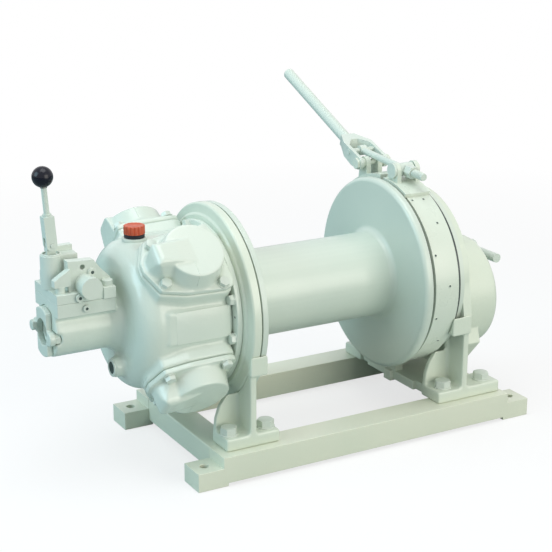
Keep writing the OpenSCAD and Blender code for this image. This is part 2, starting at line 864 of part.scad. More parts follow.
module drum_right_flange() {
    color("#dceae0")
    translate([barrel_x1, 0, axis_z]) rotate([0, 90, 0])
        rotate_extrude($fn = 180)
            union() {
                square([right_flange_d / 2 - flange_round, right_flange_t]);
                translate([0, flange_round])
                    square([right_flange_d / 2, right_flange_t - flange_round]);
                intersection() {
                    translate([right_flange_d / 2 - flange_round, flange_round])
                        circle(flange_round);
                    square([right_flange_d / 2, right_flange_t]);
                }
            }
}

module brake_drum() {
    color("#b9c8c1")
    translate([right_flange_x, 0, axis_z]) rotate([0, 90, 0])
        cylinder(d = brake_drum_d, h = plate_x0 - run_gap - right_flange_x, $fn = 180);
}

// A plate around the brake drum from angle a0 to angle a1 behind the top
module band_arc(a0, a1, r0, t) {
    translate([band_x0, 0, axis_z]) rotate([0, 90, 0])
        rotate([0, 0, 180 - a1])
            rotate_extrude(angle = a1 - a0, $fn = 180)
                translate([r0, 0]) square([t, band_w]);
}

// The band as a ring sector that stays open at the top
module brake_band() {
    color("#dae9e1") band_arc(band_end_rear - 360, band_end_front, band_r0, band_t);
}

// The rear band end's base plate and two lugs with the lever's pivot bolt
module band_bracket_rear() {
    bolt_x0 = fork_x1 + run_gap;
    color("#cfe0d8")
    union() {
        band_arc(band_end_rear, rear_base_end, band_r1, rear_base_t);
        for (s = [0, 1])
            translate([gear_x, 0, 0]) mirror([s, 0, 0])
                translate([lug_x0, 0, 0]) rotate([90, 0, 90]) linear_extrude(lug_t)
                    difference() {
                        union() {
                            translate([pivot_y, pivot_z]) circle(lug_r);
                            polygon([[pivot_y - lug_r + 2.5, axis_z],
                                [pivot_y - lug_r, pivot_z], [pivot_y + lug_r - 1, pivot_z + 5],
                                [pivot_y + lug_r + 8, pivot_z - 49],
                                [pivot_y + lug_r + 8, axis_z]]);
                        }
                        translate([0, axis_z]) circle(r = band_r1 + 2, $fn = 180);
                    }
        translate([gear_x - bolt_x0, pivot_y, pivot_z]) rotate([0, 90, 0])
            cylinder(d = pin_d, h = 2 * bolt_x0 + 10);
        translate([gear_x - bolt_x0 - 6, pivot_y, pivot_z]) rotate([0, 90, 0])
            cylinder(d = 25, h = 6, $fn = 6);
        translate([gear_x + bolt_x0, pivot_y, pivot_z]) rotate([0, 90, 0])
            cylinder(d = 25, h = 8, $fn = 6);
        translate([gear_x - fork_x0 + run_gap, pivot_y, pivot_z]) rotate([0, 90, 0])
            cylinder(d = 20, h = fork_x0 - run_gap - lug_x1 + 2);
        translate([gear_x + lug_x1 - 2, pivot_y, pivot_z]) rotate([0, 90, 0])
            cylinder(d = 20, h = fork_x0 - run_gap - lug_x1 + 2);
    }
}

// The front band end's base plate and two ears, which hold the trunnion
module band_bracket_front() {
    color("#cfe0d8")
    union() {
        band_arc(-front_base_end, band_end_front, band_r1, front_base_t);
        for (s = [0, 1])
            translate([gear_x, 0, 0]) mirror([s, 0, 0])
                translate([ear_x0, 0, 0]) rotate([90, 0, 90]) linear_extrude(ear_t)
                    difference() {
                        union() {
                            translate([trunnion_y, trunnion_z]) circle(ear_r);
                            polygon([[trunnion_y - ear_r - 2, axis_z],
                                [trunnion_y - ear_r, trunnion_z],
                                [trunnion_y + ear_r, trunnion_z],
                                [trunnion_y + ear_r + 7, axis_z + band_r1 + 5],
                                [trunnion_y + ear_r + 7, axis_z]]);
                        }
                        translate([0, axis_z]) circle(r = band_r1 + 2, $fn = 180);
                        translate([trunnion_y, trunnion_z])
                            circle(d = pin_d + hole_clear);
                    }
    }
}

// The swivelling cross pin that the adjusting rod passes through
module trunnion() {
    color("#c9dbd3")
    translate([gear_x, trunnion_y, trunnion_z]) rotate([rod_slope, 0, 0])
        difference() {
            rotate([0, 90, 0]) union() {
                translate([0, 0, -trunnion_l / 2]) cylinder(d = trunnion_d, h = trunnion_l);
                translate([0, 0, -ear_x1 - 2]) cylinder(d = pin_d, h = 2 * ear_x1 + 4);
                translate([0, 0, -ear_x1 - run_gap - 5]) cylinder(d = trunnion_cap_d, h = 5);
                translate([0, 0, ear_x1 + run_gap]) cylinder(d = pin_d * 2, h = 3);
            }
            translate([0, 40, 0]) rotate([90, 0, 0])
                cylinder(d = adj_rod_d + 2 * rod_play, h = 80);
        }
}

// Outline of the fork from the side, from the pivot's eye to the bar's root
module fork_side() {
    pivot = [pivot_y, pivot_z];
    root = [root_y, root_z];
    across = (bar_d / 2 + 0.5) * [-sin(bar_slope), cos(bar_slope)];
    difference() {
        union() {
            translate(pivot) circle(pin_d / 2 + 8);
            polygon([pivot + [4, -13], pivot + [27, -9], pivot + [56, 5],
                root - across, root + across, pivot + [52, 34],
                pivot + [22, 23], pivot + [-6, 12]]);
        }
        translate(pivot) circle(d = pin_d + hole_clear);
    }
}

// The fork at the foot of the brake lever, with the rod's pin
module brake_fork() {
    y0 = pivot_y - 21;
    color("#d2e4dc")
    translate([gear_x, 0, 0])
        union() {
            difference() {
                intersection() {
                    rotate([90, 0, 90]) translate([0, 0, -fork_x1])
                        linear_extrude(fork_w) fork_side();
                    translate([0, 0, pivot_z - 30]) linear_extrude(120)
                        polygon([[-fork_x1, y0], [-fork_x1, pivot_y + 56],
                            [-16, root_y - 4], [-13, root_y + 8], [13, root_y + 8],
                            [16, root_y - 4], [fork_x1, pivot_y + 56], [fork_x1, y0]]);
                }
                translate([0, 0, pivot_z - 40]) linear_extrude(140)
                    polygon([[-fork_x0, y0 - 1], [-fork_x0, pivot_y + 46],
                        [-8, pivot_y + 70], [8, pivot_y + 70],
                        [fork_x0, pivot_y + 46], [fork_x0, y0 - 1]]);
            }
            translate([-fork_x1 - 1.5, rod_pin_y, rod_pin_z]) rotate([0, 90, 0])
                cylinder(d = pin_d, h = fork_w + 3);
        }
}

module brake_bar() {
    color("#d2e4dc")
    translate([gear_x, root_y, root_z]) rotate([bar_slope, 0, 0])
        rotate([-90, 0, 0]) cylinder(d = bar_d, h = bar_len);
}

// The rod from the fork's pin through the trunnion
module adjusting_rod() {
    color("#c9dbd3")
    translate([gear_x, rod_pin_y, rod_pin_z]) rotate([rod_slope, 0, 0])
        difference() {
            union() {
                translate([-eye_w / 2, 0, 0]) rotate([0, 90, 0]) cylinder(d = 22, h = eye_w);
                rotate([90, 0, 0]) cylinder(d = adj_rod_d, h = adj_rod_len);
            }
            translate([-eye_w, 0, 0]) rotate([0, 90, 0])
                cylinder(d = pin_d + hole_clear, h = 2 * eye_w);
        }
}

module rod_nut() {
    color("#c9dbd3")
    translate([gear_x, rod_pin_y, rod_pin_z]) rotate([rod_slope, 0, 0])
        translate([0, -rod_run - trunnion_d / 2 - 0.6, 0]) rotate([90, 0, 0])
            difference() {
                cylinder(d = nut_af / cos(30), h = nut_l, $fn = 6);
                translate([0, 0, -1]) cylinder(d = adj_rod_d, h = nut_l + 2);
            }
}

module outboard_case() {
    color("#d4e5dd")
    translate([plate_x1, 0, 0]) {
        translate([0, 0, case_z]) rotate([0, 90, 0])
            rotate_extrude($fn = 180)
                union() {
                    square([case_d / 2 - case_round, case_len]);
                    square([case_d / 2, case_len - case_round]);
                    intersection() {
                        translate([case_d / 2 - case_round, case_len - case_round])
                            circle(case_round);
                        square([case_d / 2, case_len]);
                    }
                }
        rotate([90, 0, 90]) linear_extrude(sump_l)
            polygon([[-sump_w / 2 + 15, case_z - 38], [-sump_w / 2, sump_z + 54],
                [-sump_w / 2 + 48, sump_z], [sump_w / 2 - 48, sump_z],
                [sump_w / 2, sump_z + 54], [sump_w / 2 - 15, case_z - 38]]);
    }
}

module clutch_hub() {
    color("#cfe0d8")
    translate([case_x1, clutch_back, case_z + clutch_up]) rotate([0, 90, 0])
        cylinder(d = clutch_hub_d, h = clutch_hub_l);
}

// The stub lever on the clutch shaft, with its handle towards the front
module clutch_lever() {
    color("#d0e2da")
    translate([case_x1 + clutch_hub_l + run_gap, clutch_back, case_z + clutch_up]) {
        rotate([0, 90, 0]) cylinder(d = stub_eye_d, h = stub_eye_l);
        translate([stub_eye_l / 2, 0, 0]) rotate([90, 0, 0])
            cylinder(d = stub_d, h = stub_len);
    }
}

rail_front();
rail_rear();
cross_beam_motor();
cross_beam_brake();
motor_ring();
motor_leg_front();
motor_leg_rear();
end_plate();
brake_leg_front();
brake_leg_rear();
tie_beam();
stand_bolts();
motor_flange();
motor_housing();
head_front_top();
head_front_low();
head_rear_top();
head_rear_low();
filler_boss();
filler_cap();
air_duct();
inlet_flange();
valve_body();
spool_housing();
valve_front_plate();
lever_clevis();
control_lever();
ball_knob();
drum_barrel();
drum_left_flange();
drum_right_flange();
brake_drum();
brake_band();
band_bracket_rear();
band_bracket_front();
trunnion();
brake_fork();
brake_bar();
adjusting_rod();
rod_nut();
outboard_case();
clutch_hub();
clutch_lever();
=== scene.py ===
# %% [markdown]
# # An air winch, painted and lit
# The winch arrives as exact solids: rails, stands, motor, valve, drum and brake. They already have the
# right sizes and places. This notebook gives them what solids lack: rounded cast edges, bolts, a glossy
# paint with small marks, and a soft studio. It could all be modelled again by hand, but the solids are
# exact, so most pieces here grow out of them.

# %% Load the solids
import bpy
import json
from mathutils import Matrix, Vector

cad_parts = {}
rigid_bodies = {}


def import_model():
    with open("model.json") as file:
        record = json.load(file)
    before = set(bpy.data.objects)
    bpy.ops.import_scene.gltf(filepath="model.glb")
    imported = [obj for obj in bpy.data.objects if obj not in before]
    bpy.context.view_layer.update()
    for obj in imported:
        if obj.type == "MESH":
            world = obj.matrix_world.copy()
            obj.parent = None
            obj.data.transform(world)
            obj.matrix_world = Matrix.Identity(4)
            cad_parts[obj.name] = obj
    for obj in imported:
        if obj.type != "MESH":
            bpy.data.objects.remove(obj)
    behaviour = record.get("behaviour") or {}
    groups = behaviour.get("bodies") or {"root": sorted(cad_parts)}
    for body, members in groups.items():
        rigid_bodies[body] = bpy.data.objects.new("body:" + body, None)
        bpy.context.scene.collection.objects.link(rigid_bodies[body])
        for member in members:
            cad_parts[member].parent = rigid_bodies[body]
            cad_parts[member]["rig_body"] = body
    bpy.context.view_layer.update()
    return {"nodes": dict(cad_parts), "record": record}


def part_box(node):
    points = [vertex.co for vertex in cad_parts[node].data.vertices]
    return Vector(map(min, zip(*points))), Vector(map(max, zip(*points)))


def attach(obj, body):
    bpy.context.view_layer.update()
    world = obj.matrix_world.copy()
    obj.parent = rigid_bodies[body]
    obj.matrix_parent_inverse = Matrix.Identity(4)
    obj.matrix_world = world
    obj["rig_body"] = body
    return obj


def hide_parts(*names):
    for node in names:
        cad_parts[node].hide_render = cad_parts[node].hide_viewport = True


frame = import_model()

# %% Modules
import json
import math
import random
import bmesh
import bpy
from mathutils import Matrix, Vector

MM = 0.001
joint_at = {joint["name"]: Vector(joint["pos_m"]) for joint in frame["record"]["behaviour"]["joints"]}
print("joints:", sorted(joint_at))

# %% [markdown]
# ## The camera
# A product photograph is usually taken from some way off with a long lens, which keeps the far side of the
# machine nearly as large as the near side. The camera stands in front of the motor end, a little above it.
# Its direction is worked out from two angles, which is easier to correct than a rotation typed by hand.

# %% Camera
IMAGE_SIDE = 552
FOCAL_IN_PIXELS = 1415.06
camera_place = Vector((-1.4816, -2.42495, 1.1908))
turn = math.radians(29.45)
tilt = math.radians(-17.05)
look = Vector((math.sin(turn) * math.cos(tilt), math.cos(turn) * math.cos(tilt), math.sin(tilt)))
camera_data = bpy.data.cameras.new("studio_camera")
camera = bpy.data.objects.new("studio_camera", camera_data)
bpy.context.scene.collection.objects.link(camera)
camera.location = camera_place
camera.rotation_euler = look.to_track_quat("-Z", "Y").to_euler()
camera_data.sensor_width = 36
camera_data.lens = FOCAL_IN_PIXELS / IMAGE_SIDE * camera_data.sensor_width
camera_data.clip_end = 60
bpy.context.scene.camera = camera
print("lens:", round(camera_data.lens, 1), "mm")

# %% [markdown]
# ## Floor and light
# The machine stands in a white studio. A wide plain floor carries the shadow, and three soft panels light
# it: one overhead, a cool one from the motor end and a warmer one from the front. Large panels give the
# long, soft highlights that show a glossy paint. The white behind the machine isn't made with more light,
# which would bleach the paint. The floor and the sky simply look white to the camera, and the floor's shadow
# fades out a couple of metres away. To the light itself the floor is a mid grey, so that undersides stay
# dark.

# %% Floor
def studio_floor():
    mesh = bpy.data.meshes.new("studio_floor")
    builder = bmesh.new()
    bmesh.ops.create_circle(builder, cap_ends=True, segments=96, radius=28)
    builder.to_mesh(mesh)
    builder.free()
    floor = bpy.data.objects.new("studio_floor", mesh)
    bpy.context.scene.collection.objects.link(floor)
    floor.location.z = -0.0005
    return floor

# %% Floor paint
SHADOW_SHARE = 0.28
SHADOW_FADES_FROM = 0.75
SHADOW_GONE_AT = 2.6


def floor_paint():
    paint = bpy.data.materials.new("white_studio_floor")
    paint.use_nodes = True
    tree = paint.node_tree
    tree.nodes.clear()
    output = tree.nodes.new("ShaderNodeOutputMaterial")
    matt = tree.nodes.new("ShaderNodeBsdfDiffuse")
    matt.inputs["Color"].default_value = (0.93, 0.94, 0.94, 1)
    bounce = tree.nodes.new("ShaderNodeBsdfDiffuse")
    bounce.inputs["Color"].default_value = (0.40, 0.48, 0.48, 1)
    white = tree.nodes.new("ShaderNodeEmission")
    white.inputs["Color"].default_value = (1, 1, 1, 1)
    white.inputs["Strength"].default_value = 1
    seen = tree.nodes.new("ShaderNodeLightPath")
    place = tree.nodes.new("ShaderNodeTexCoord")
    way_out = tree.nodes.new("ShaderNodeVectorMath")
    way_out.operation = "LENGTH"
    tree.links.new(place.outputs["Object"], way_out.inputs[0])
    fade = tree.nodes.new("ShaderNodeMapRange")
    fade.inputs["From Min"].default_value = SHADOW_FADES_FROM
    fade.inputs["From Max"].default_value = SHADOW_GONE_AT
    fade.inputs["To Min"].default_value = 1 - SHADOW_SHARE
    fade.inputs["To Max"].default_value = 1
    tree.links.new(way_out.outputs["Value"], fade.inputs["Value"])
    blend = tree.nodes.new("ShaderNodeMixShader")
    tree.links.new(fade.outputs["Result"], blend.inputs[0])
    tree.links.new(matt.outputs[0], blend.inputs[1])
    tree.links.new(white.outputs[0], blend.inputs[2])
    to_light = tree.nodes.new("ShaderNodeMixShader")
    tree.links.new(seen.outputs["Is Camera Ray"], to_light.inputs[0])
    tree.links.new(bounce.outputs[0], to_light.inputs[1])
    tree.links.new(blend.outputs[0], to_light.inputs[2])
    tree.links.new(to_light.outputs[0], output.inputs["Surface"])
    return paint


floor = studio_floor()
floor.data.materials.append(floor_paint())
print("floor radius:", round(floor.dimensions.x / 2, 1), "m")

# %% Sky
SKY_STRENGTH = 0.46
world = bpy.data.worlds.new("studio_sky")
bpy.context.scene.world = world
world.use_nodes = True
sky_tree = world.node_tree
sky_tree.nodes.clear()
sky_output = sky_tree.nodes.new("ShaderNodeOutputWorld")
sky_light = sky_tree.nodes.new("ShaderNodeBackground")
sky_light.inputs["Color"].default_value = (0.95, 0.97, 1.0, 1)
sky_light.inputs["Strength"].default_value = SKY_STRENGTH
sky_white = sky_tree.nodes.new("ShaderNodeBackground")
sky_white.inputs["Color"].default_value = (1, 1, 1, 1)
sky_white.inputs["Strength"].default_value = 1
ray = sky_tree.nodes.new("ShaderNodeLightPath")
either = sky_tree.nodes.new("ShaderNodeMath")
either.operation = "MAXIMUM"
any_of_three = sky_tree.nodes.new("ShaderNodeMath")
any_of_three.operation = "MAXIMUM"
sky_mix = sky_tree.nodes.new("ShaderNodeMixShader")
sky_tree.links.new(ray.outputs["Is Camera Ray"], either.inputs[0])
sky_tree.links.new(ray.outputs["Is Glossy Ray"], either.inputs[1])
sky_tree.links.new(either.outputs[0], any_of_three.inputs[0])
sky_tree.links.new(ray.outputs["Is Transmission Ray"], any_of_three.inputs[1])
sky_tree.links.new(any_of_three.outputs[0], sky_mix.inputs[0])
sky_tree.links.new(sky_light.outputs[0], sky_mix.inputs[1])
sky_tree.links.new(sky_white.outputs[0], sky_mix.inputs[2])
sky_tree.links.new(sky_mix.outputs[0], sky_output.inputs["Surface"])
print("sky strength:", SKY_STRENGTH)

# %% Light panels
def light_panel(name, place, target, side, power, tint):
    data = bpy.data.lights.new(name, "AREA")
    data.shape = "SQUARE"
    data.size = side
    data.energy = power
    data.color = tint
    panel = bpy.data.objects.new(name, data)
    bpy.context.scene.collection.objects.link(panel)
    panel.location = place
    panel.rotation_euler = (Vector(target) - Vector(place)).to_track_quat("-Z", "Y").to_euler()
    return panel


panels = [
    light_panel("overhead_panel", place=(-0.3, -0.3, 3.2), target=(0, 0, 0.3),
                side=2.0, power=42, tint=(0.97, 0.99, 1.0)),
    light_panel("motor_end_panel", place=(-3.9, 0.7, 2.3), target=(0, 0, 0.3),
                side=2.4, power=82, tint=(0.56, 0.86, 1.0)),
    light_panel("front_panel", place=(1.4, -4.4, 1.4), target=(0, 0, 0.25),
                side=3.2, power=113, tint=(1.0, 0.95, 0.86)),
]
bpy.context.scene.view_settings.view_transform = "Standard"
print("panels:", [(panel.name, panel.data.energy) for panel in panels])

# %% [markdown]
# ## Gloss enamel
# The whole machine is sprayed in one pale green enamel, over cast iron and steel. A flat colour would look
# like plastic. Sprayed enamel has a slow drift between two close tints, a fine orange-peel skin, a slightly
# uneven gloss, and where it is sprayed on a casting the sand's grain still shows. Inner corners are painted
# darker, partly as dust and partly as painted shade, and sharp edges are painted lighter, partly as thinner
# spray and partly as a painted highlight. The pointiness of the mesh tells one from the other, so every piece
# gets both without a painted picture.

# %% Node helpers
def add_node(tree, kind, **values):
    node = tree.nodes.new(kind)
    for socket, value in values.items():
        node.inputs[socket].default_value = value
    return node


def srgb(red, green, blue):
    """A colour given as it looks on screen, 0 to 255, turned into linear light."""
    channels = []
    for value in (red, green, blue):
        share = value / 255
        channels.append(share / 12.92 if share <= 0.04045 else ((share + 0.055) / 1.055) ** 2.4)
    return (*channels, 1)


def noise(tree, place, scale, detail=3, roughness=0.5):
    node = add_node(tree, "ShaderNodeTexNoise", Scale=scale, Detail=detail, Roughness=roughness)
    tree.links.new(place, node.inputs["Vector"])
    return node.outputs["Fac"]


def remap(tree, value, low_in, high_in, low_out, high_out):
    node = tree.nodes.new("ShaderNodeMapRange")
    tree.links.new(value, node.inputs["Value"])
    node.inputs["From Min"].default_value = low_in
    node.inputs["From Max"].default_value = high_in
    node.inputs["To Min"].default_value = low_out
    node.inputs["To Max"].default_value = high_out
    return node.outputs["Result"]


def mix_colour(tree, share, colour_a, colour_b):
    node = tree.nodes.new("ShaderNodeMix")
    node.data_type = "RGBA"
    tree.links.new(share, node.inputs["Factor"])
    for socket, colour in (("A", colour_a), ("B", colour_b)):
        inlet = [i for i in node.inputs if i.name == socket and i.type == "RGBA"][0]
        if isinstance(colour, tuple):
            inlet.default_value = colour
        else:
            tree.links.new(colour, inlet)
    return [o for o in node.outputs if o.type == "RGBA"][0]

# %% Enamel
# How much sharp edges are lightened: partly thinner spray, partly a painted highlight.
EDGE_WEAR_AND_HIGHLIGHT = 0.5
# How much inner corners are darkened: partly dust, partly painted shade.
CORNER_DUST_AND_SHADE = 0.5
TINT_PATCHES, GLOSS_PATCHES, SAND, SPECKS, PEEL = 5.5, 24, 85, 310, 420     # grains to the metre


def gloss_enamel(name, tint, cast_grain, gloss):
    """cast_grain is how strongly the sand of the mould shows, from 0 on machined steel to 1."""
    paint = bpy.data.materials.new(name)
    paint.use_nodes = True
    tree = paint.node_tree
    shader = tree.nodes["Principled BSDF"]
    place = tree.nodes.new("ShaderNodeTexCoord").outputs["Object"]
    deeper = (tint[0] * 0.94, tint[1] * 0.965, tint[2] * 0.96, 1)
    # Lighter tint for sharp edges: thinner spray and a painted highlight.
    paler = (min(1, tint[0] * 1.13), min(1, tint[1] * 1.10), min(1, tint[2] * 1.11), 1)
    # Darker teal tint for the dust specks and for the painted shade of inner corners.
    dust_and_shade_tint = (tint[0] * 0.48, tint[1] * 0.60, tint[2] * 0.60, 1)
    drift = remap(tree, noise(tree, place, TINT_PATCHES, 3), 0.35, 0.65, 0, 1)
    colour = mix_colour(tree, drift, deeper, tint)
    pointed = tree.nodes.new("ShaderNodeNewGeometry").outputs["Pointiness"]
    # Sharp edges painted lighter, partly as thinner spray and partly as a painted highlight.
    edge = remap(tree, pointed, 0.515, 0.60, 0, EDGE_WEAR_AND_HIGHLIGHT)
    colour = mix_colour(tree, edge, colour, paler)
    # Inner corners painted darker, partly as dust and partly as painted shade.
    corner = remap(tree, pointed, 0.49, 0.42, 0, CORNER_DUST_AND_SHADE)
    colour = mix_colour(tree, corner, colour, dust_and_shade_tint)
    specks = remap(tree, noise(tree, place, SPECKS, 2), 0.70, 0.76, 0, 0.22)
    colour = mix_colour(tree, specks, colour, dust_and_shade_tint)
    tree.links.new(colour, shader.inputs["Base Color"])
    sheen_drift = remap(tree, noise(tree, place, GLOSS_PATCHES, 4), 0.3, 0.7, gloss - 0.02, gloss + 0.03)
    tree.links.new(sheen_drift, shader.inputs["Roughness"])
    shader.inputs["IOR"].default_value = 1.5
    shader.inputs["Coat Weight"].default_value = 0.16
    shader.inputs["Coat Roughness"].default_value = 0.12
    peel = add_node(tree, "ShaderNodeBump", Strength=0.10, Distance=0.0006)
    tree.links.new(noise(tree, place, PEEL, 2), peel.inputs["Height"])
    grain = add_node(tree, "ShaderNodeBump", Strength=0.06 + 0.30 * cast_grain, Distance=0.002)
    tree.links.new(noise(tree, place, SAND, 5, 0.6), grain.inputs["Height"])
    tree.links.new(peel.outputs["Normal"], grain.inputs["Normal"])
    tree.links.new(grain.outputs["Normal"], shader.inputs["Normal"])
    return paint


pale_green = srgb(213, 223, 211)
enamel = {
    "frame_paint": gloss_enamel("frame_enamel", srgb(217, 222, 203), 0.25, gloss=0.36),
    "casting_paint": gloss_enamel("stand_enamel", srgb(214, 223, 207), 0.55, gloss=0.33),
    "motor_paint": gloss_enamel("motor_enamel", pale_green, 0.6, gloss=0.24),
    "valve_paint": gloss_enamel("valve_enamel", srgb(208, 218, 207), 0.5, gloss=0.30),
    "drum_paint": gloss_enamel("drum_enamel", srgb(205, 216, 204), 0.05, gloss=0.34),
    "band_paint": gloss_enamel("band_enamel", srgb(214, 223, 209), 0.12, gloss=0.28),
    "lever_paint": gloss_enamel("lever_enamel", srgb(208, 219, 208), 0.15, gloss=0.30),
    "fastener_paint": gloss_enamel("bolt_enamel", srgb(205, 215, 204), 0.1, gloss=0.30),
}
print("enamels:", sorted(enamel))

# %% [markdown]
# ## Plastics
# Only two things aren't enamel: the oil filler cap, in a satin orange plastic over a black rubber ring, and
# the ball knob, in a hard black resin with a small soft highlight. Both are simple shaders, with a little
# scuffing in the gloss so that they don't look new. A last dull dark one paints the shade inside sockets and
# small holes.

# %% Plastic
def moulded_plastic(name, tint, gloss, scuff, coat, bend=1.5):
    """bend is the refraction number: a low one keeps a dark piece dark under the white sky."""
    plastic = bpy.data.materials.new(name)
    plastic.use_nodes = True
    tree = plastic.node_tree
    shader = tree.nodes["Principled BSDF"]
    place = tree.nodes.new("ShaderNodeTexCoord").outputs["Object"]
    darker = (tint[0] * 0.82, tint[1] * 0.80, tint[2] * 0.80, 1)
    drift = remap(tree, noise(tree, place, 60, 3), 0.35, 0.65, 0, 1)
    tree.links.new(mix_colour(tree, drift, darker, tint), shader.inputs["Base Color"])
    marks = remap(tree, noise(tree, place, 190, 5, 0.7), 0.4, 0.7, gloss, gloss + scuff)
    tree.links.new(marks, shader.inputs["Roughness"])
    shader.inputs["IOR"].default_value = bend
    shader.inputs["Coat Weight"].default_value = coat
    shader.inputs["Coat Roughness"].default_value = 0.10
    skin = add_node(tree, "ShaderNodeBump", Strength=0.08, Distance=0.0004)
    tree.links.new(noise(tree, place, 900, 2), skin.inputs["Height"])
    tree.links.new(skin.outputs["Normal"], shader.inputs["Normal"])
    return plastic


orange_plastic = moulded_plastic("orange_cap_plastic", srgb(208, 92, 58), 0.38, 0.2, 0.1)
black_rubber = moulded_plastic("black_ring_rubber", srgb(28, 30, 40), 0.45, 0.2, 0.0)
knob_resin = moulded_plastic("black_knob_resin", srgb(12, 15, 30), 0.20, 0.12, 0.12, bend=1.32)
# Dull dark finish that paints the shade inside sockets and small holes.
painted_hole_shade = moulded_plastic("painted_hole_shade", srgb(84, 97, 94), 0.70, 0.2, 0.0, bend=1.2)
plastics = {"cap_plastic": orange_plastic, "knob_plastic": knob_resin}
print("plastics:", sorted(plastics))

# %% Paint the solids by their slot
def finish_of(slot_name):
    return enamel.get(slot_name) or plastics[slot_name]


slot_of = {}
body_of = {}
for node_name, solid in frame["nodes"].items():
    slot_of[node_name] = solid.data.materials[0].name.split(".")[0]
    body_of[node_name] = solid["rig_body"]
    solid.data.materials[0] = finish_of(slot_of[node_name])
print("painted:", len(frame["nodes"]))

# %% [markdown]
# ## Working on copies of the solids
# A solid's own mesh stays as it came. The pieces that show are made from copies: the copy's split corners
# are joined first, so that a bevel or a remesh sees one closed skin, and the copy then stands for the solid.
# Every finished piece goes through the same last step, which paints it and ties it to the body it rides on.

# %% Copies of the solids
def welded(node_name):
    """A copy of a solid with its split corners joined, open for work."""
    builder = bmesh.new()
    builder.from_mesh(frame["nodes"][node_name].data)
    bmesh.ops.remove_doubles(builder, verts=builder.verts, dist=0.00002)
    return builder


def merge_flats(builder):
    bmesh.ops.dissolve_limit(
        builder, angle_limit=math.radians(0.4), verts=builder.verts, edges=builder.edges)


def pour(fresh, into, place=None):
    """Moves the form in fresh by place and adds it to another open builder."""
    if place is not None:
        bmesh.ops.transform(fresh, matrix=place, verts=fresh.verts)
    passing = bpy.data.meshes.new("passing")
    fresh.to_mesh(passing)
    fresh.free()
    into.from_mesh(passing)
    bpy.data.meshes.remove(passing)

# %% Pieces made from them
def make_piece(name, builder, place=None):
    mesh = bpy.data.meshes.new(name)
    if place is not None:
        bmesh.ops.transform(builder, matrix=place, verts=builder.verts)
    builder.to_mesh(mesh)
    builder.free()
    for leftover in ("custom_normal", "sharp_edge", "sharp_face"):
        if leftover in mesh.attributes:
            mesh.attributes.remove(mesh.attributes[leftover])
    piece = bpy.data.objects.new(name, mesh)
    bpy.context.scene.collection.objects.link(piece)
    return piece


def settle(piece):
    """Turns the piece's modifiers into plain mesh."""
    graph = bpy.context.evaluated_depsgraph_get()
    done = bpy.data.meshes.new_from_object(piece.evaluated_get(graph))
    piece.modifiers.clear()
    old = piece.data
    piece.data = done
    bpy.data.meshes.remove(old)
    return piece


def smooth_faces(piece, sharp_from=None):
    piece.data.polygons.foreach_set("use_smooth", [True] * len(piece.data.polygons))
    if sharp_from is not None:
        piece.data.set_sharp_from_angle(angle=math.radians(sharp_from))
    return piece

# %% The last step of every piece
def hand_over(piece, body, slot_name, stands_for=(), finish=None):
    """Gives a piece its finish, its body and the solids that it stands for."""
    piece.data.materials.clear()
    piece.data.materials.append(finish or finish_of(slot_name))
    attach(piece, body)
    if stands_for:
        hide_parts(*stands_for)
    return piece


def finished(name, builder, slot_name, sharp_from=None, place=None, body="base", stands_for=(), finish=None):
    """For a piece that needs no more work on its mesh: from the open builder to the last step."""
    piece = smooth_faces(make_piece(name, builder, place), sharp_from)
    return hand_over(piece, body, slot_name, stands_for, finish)

# %% [markdown]
# ## Rounded edges
# No edge of a painted machine is sharp. Plates are ground, castings leave the mould with a radius, and the
# paint itself rounds what is left. The small bright line along every edge in the photograph comes from that.
# Flat faces are merged first, so that the bevel runs along real edges only, then every edge sharper than
# 28 degrees gets its radius. A weighted normal keeps the flats flat right up to the bevel.

# %% Rounded copies
SHARP_EDGE = 28


def machined(piece, radius, steps):
    edge = piece.modifiers.new("edge_radius", "BEVEL")
    edge.width = radius
    edge.segments = steps
    edge.limit_method = "ANGLE"
    edge.angle_limit = math.radians(SHARP_EDGE)
    even = piece.modifiers.new("even_flats", "WEIGHTED_NORMAL")
    even.weight = 80
    smooth_faces(piece)
    settle(piece)
    return smooth_faces(piece)


def rounded_copy(node_name, radius):
    builder = welded(node_name)
    merge_flats(builder)
    piece = machined(make_piece(node_name + "_rounded", builder), radius, steps=2)
    return hand_over(piece, body_of[node_name], slot_of[node_name], [node_name])


edge_radius = {
    "rail_front": 0.004, "rail_rear": 0.004, "cross_beam_motor": 0.003, "cross_beam_brake": 0.003,
    "motor_ring": 0.0014, "motor_flange": 0.002, "end_plate": 0.0022, "tie_beam": 0.003,
    "drum_left_flange": 0.0016, "drum_right_flange": 0.002, "rod_nut": 0.0012,
    "band_bracket_rear": 0.0013, "band_bracket_front": 0.0013, "trunnion": 0.0012,
    "brake_fork": 0.0022, "brake_bar": 0.0028, "adjusting_rod": 0.0022, "outboard_case": 0.003,
    "clutch_hub": 0.0015, "clutch_lever": 0.0025, "spool_housing": 0.0016, "lever_clevis": 0.0008,
    "control_lever": 0.0012, "valve_front_plate": 0.0016,
}
rounded = {name: rounded_copy(name, radius) for name, radius in edge_radius.items()}
print("rounded copies:", len(rounded), "faces:", sum(len(p.data.polygons) for p in rounded.values()))

# %% [markdown]
# ## Cast skins
# The motor, the cylinder heads, the air duct and the legs are castings. Where two forms of a casting meet
# there is a fillet, and outer edges are soft. A bevel can't do this across crossing curved faces. Small
# cubes can: the joined solids are filled with cubes of one or two millimetres, whose outer skin is one
# closed surface. To get the fillets the skin is swollen by the fillet's radius and shrunk again, which
# leaves every narrow corner filled in, just as the sand of a mould does. Then it is smoothed and thinned.

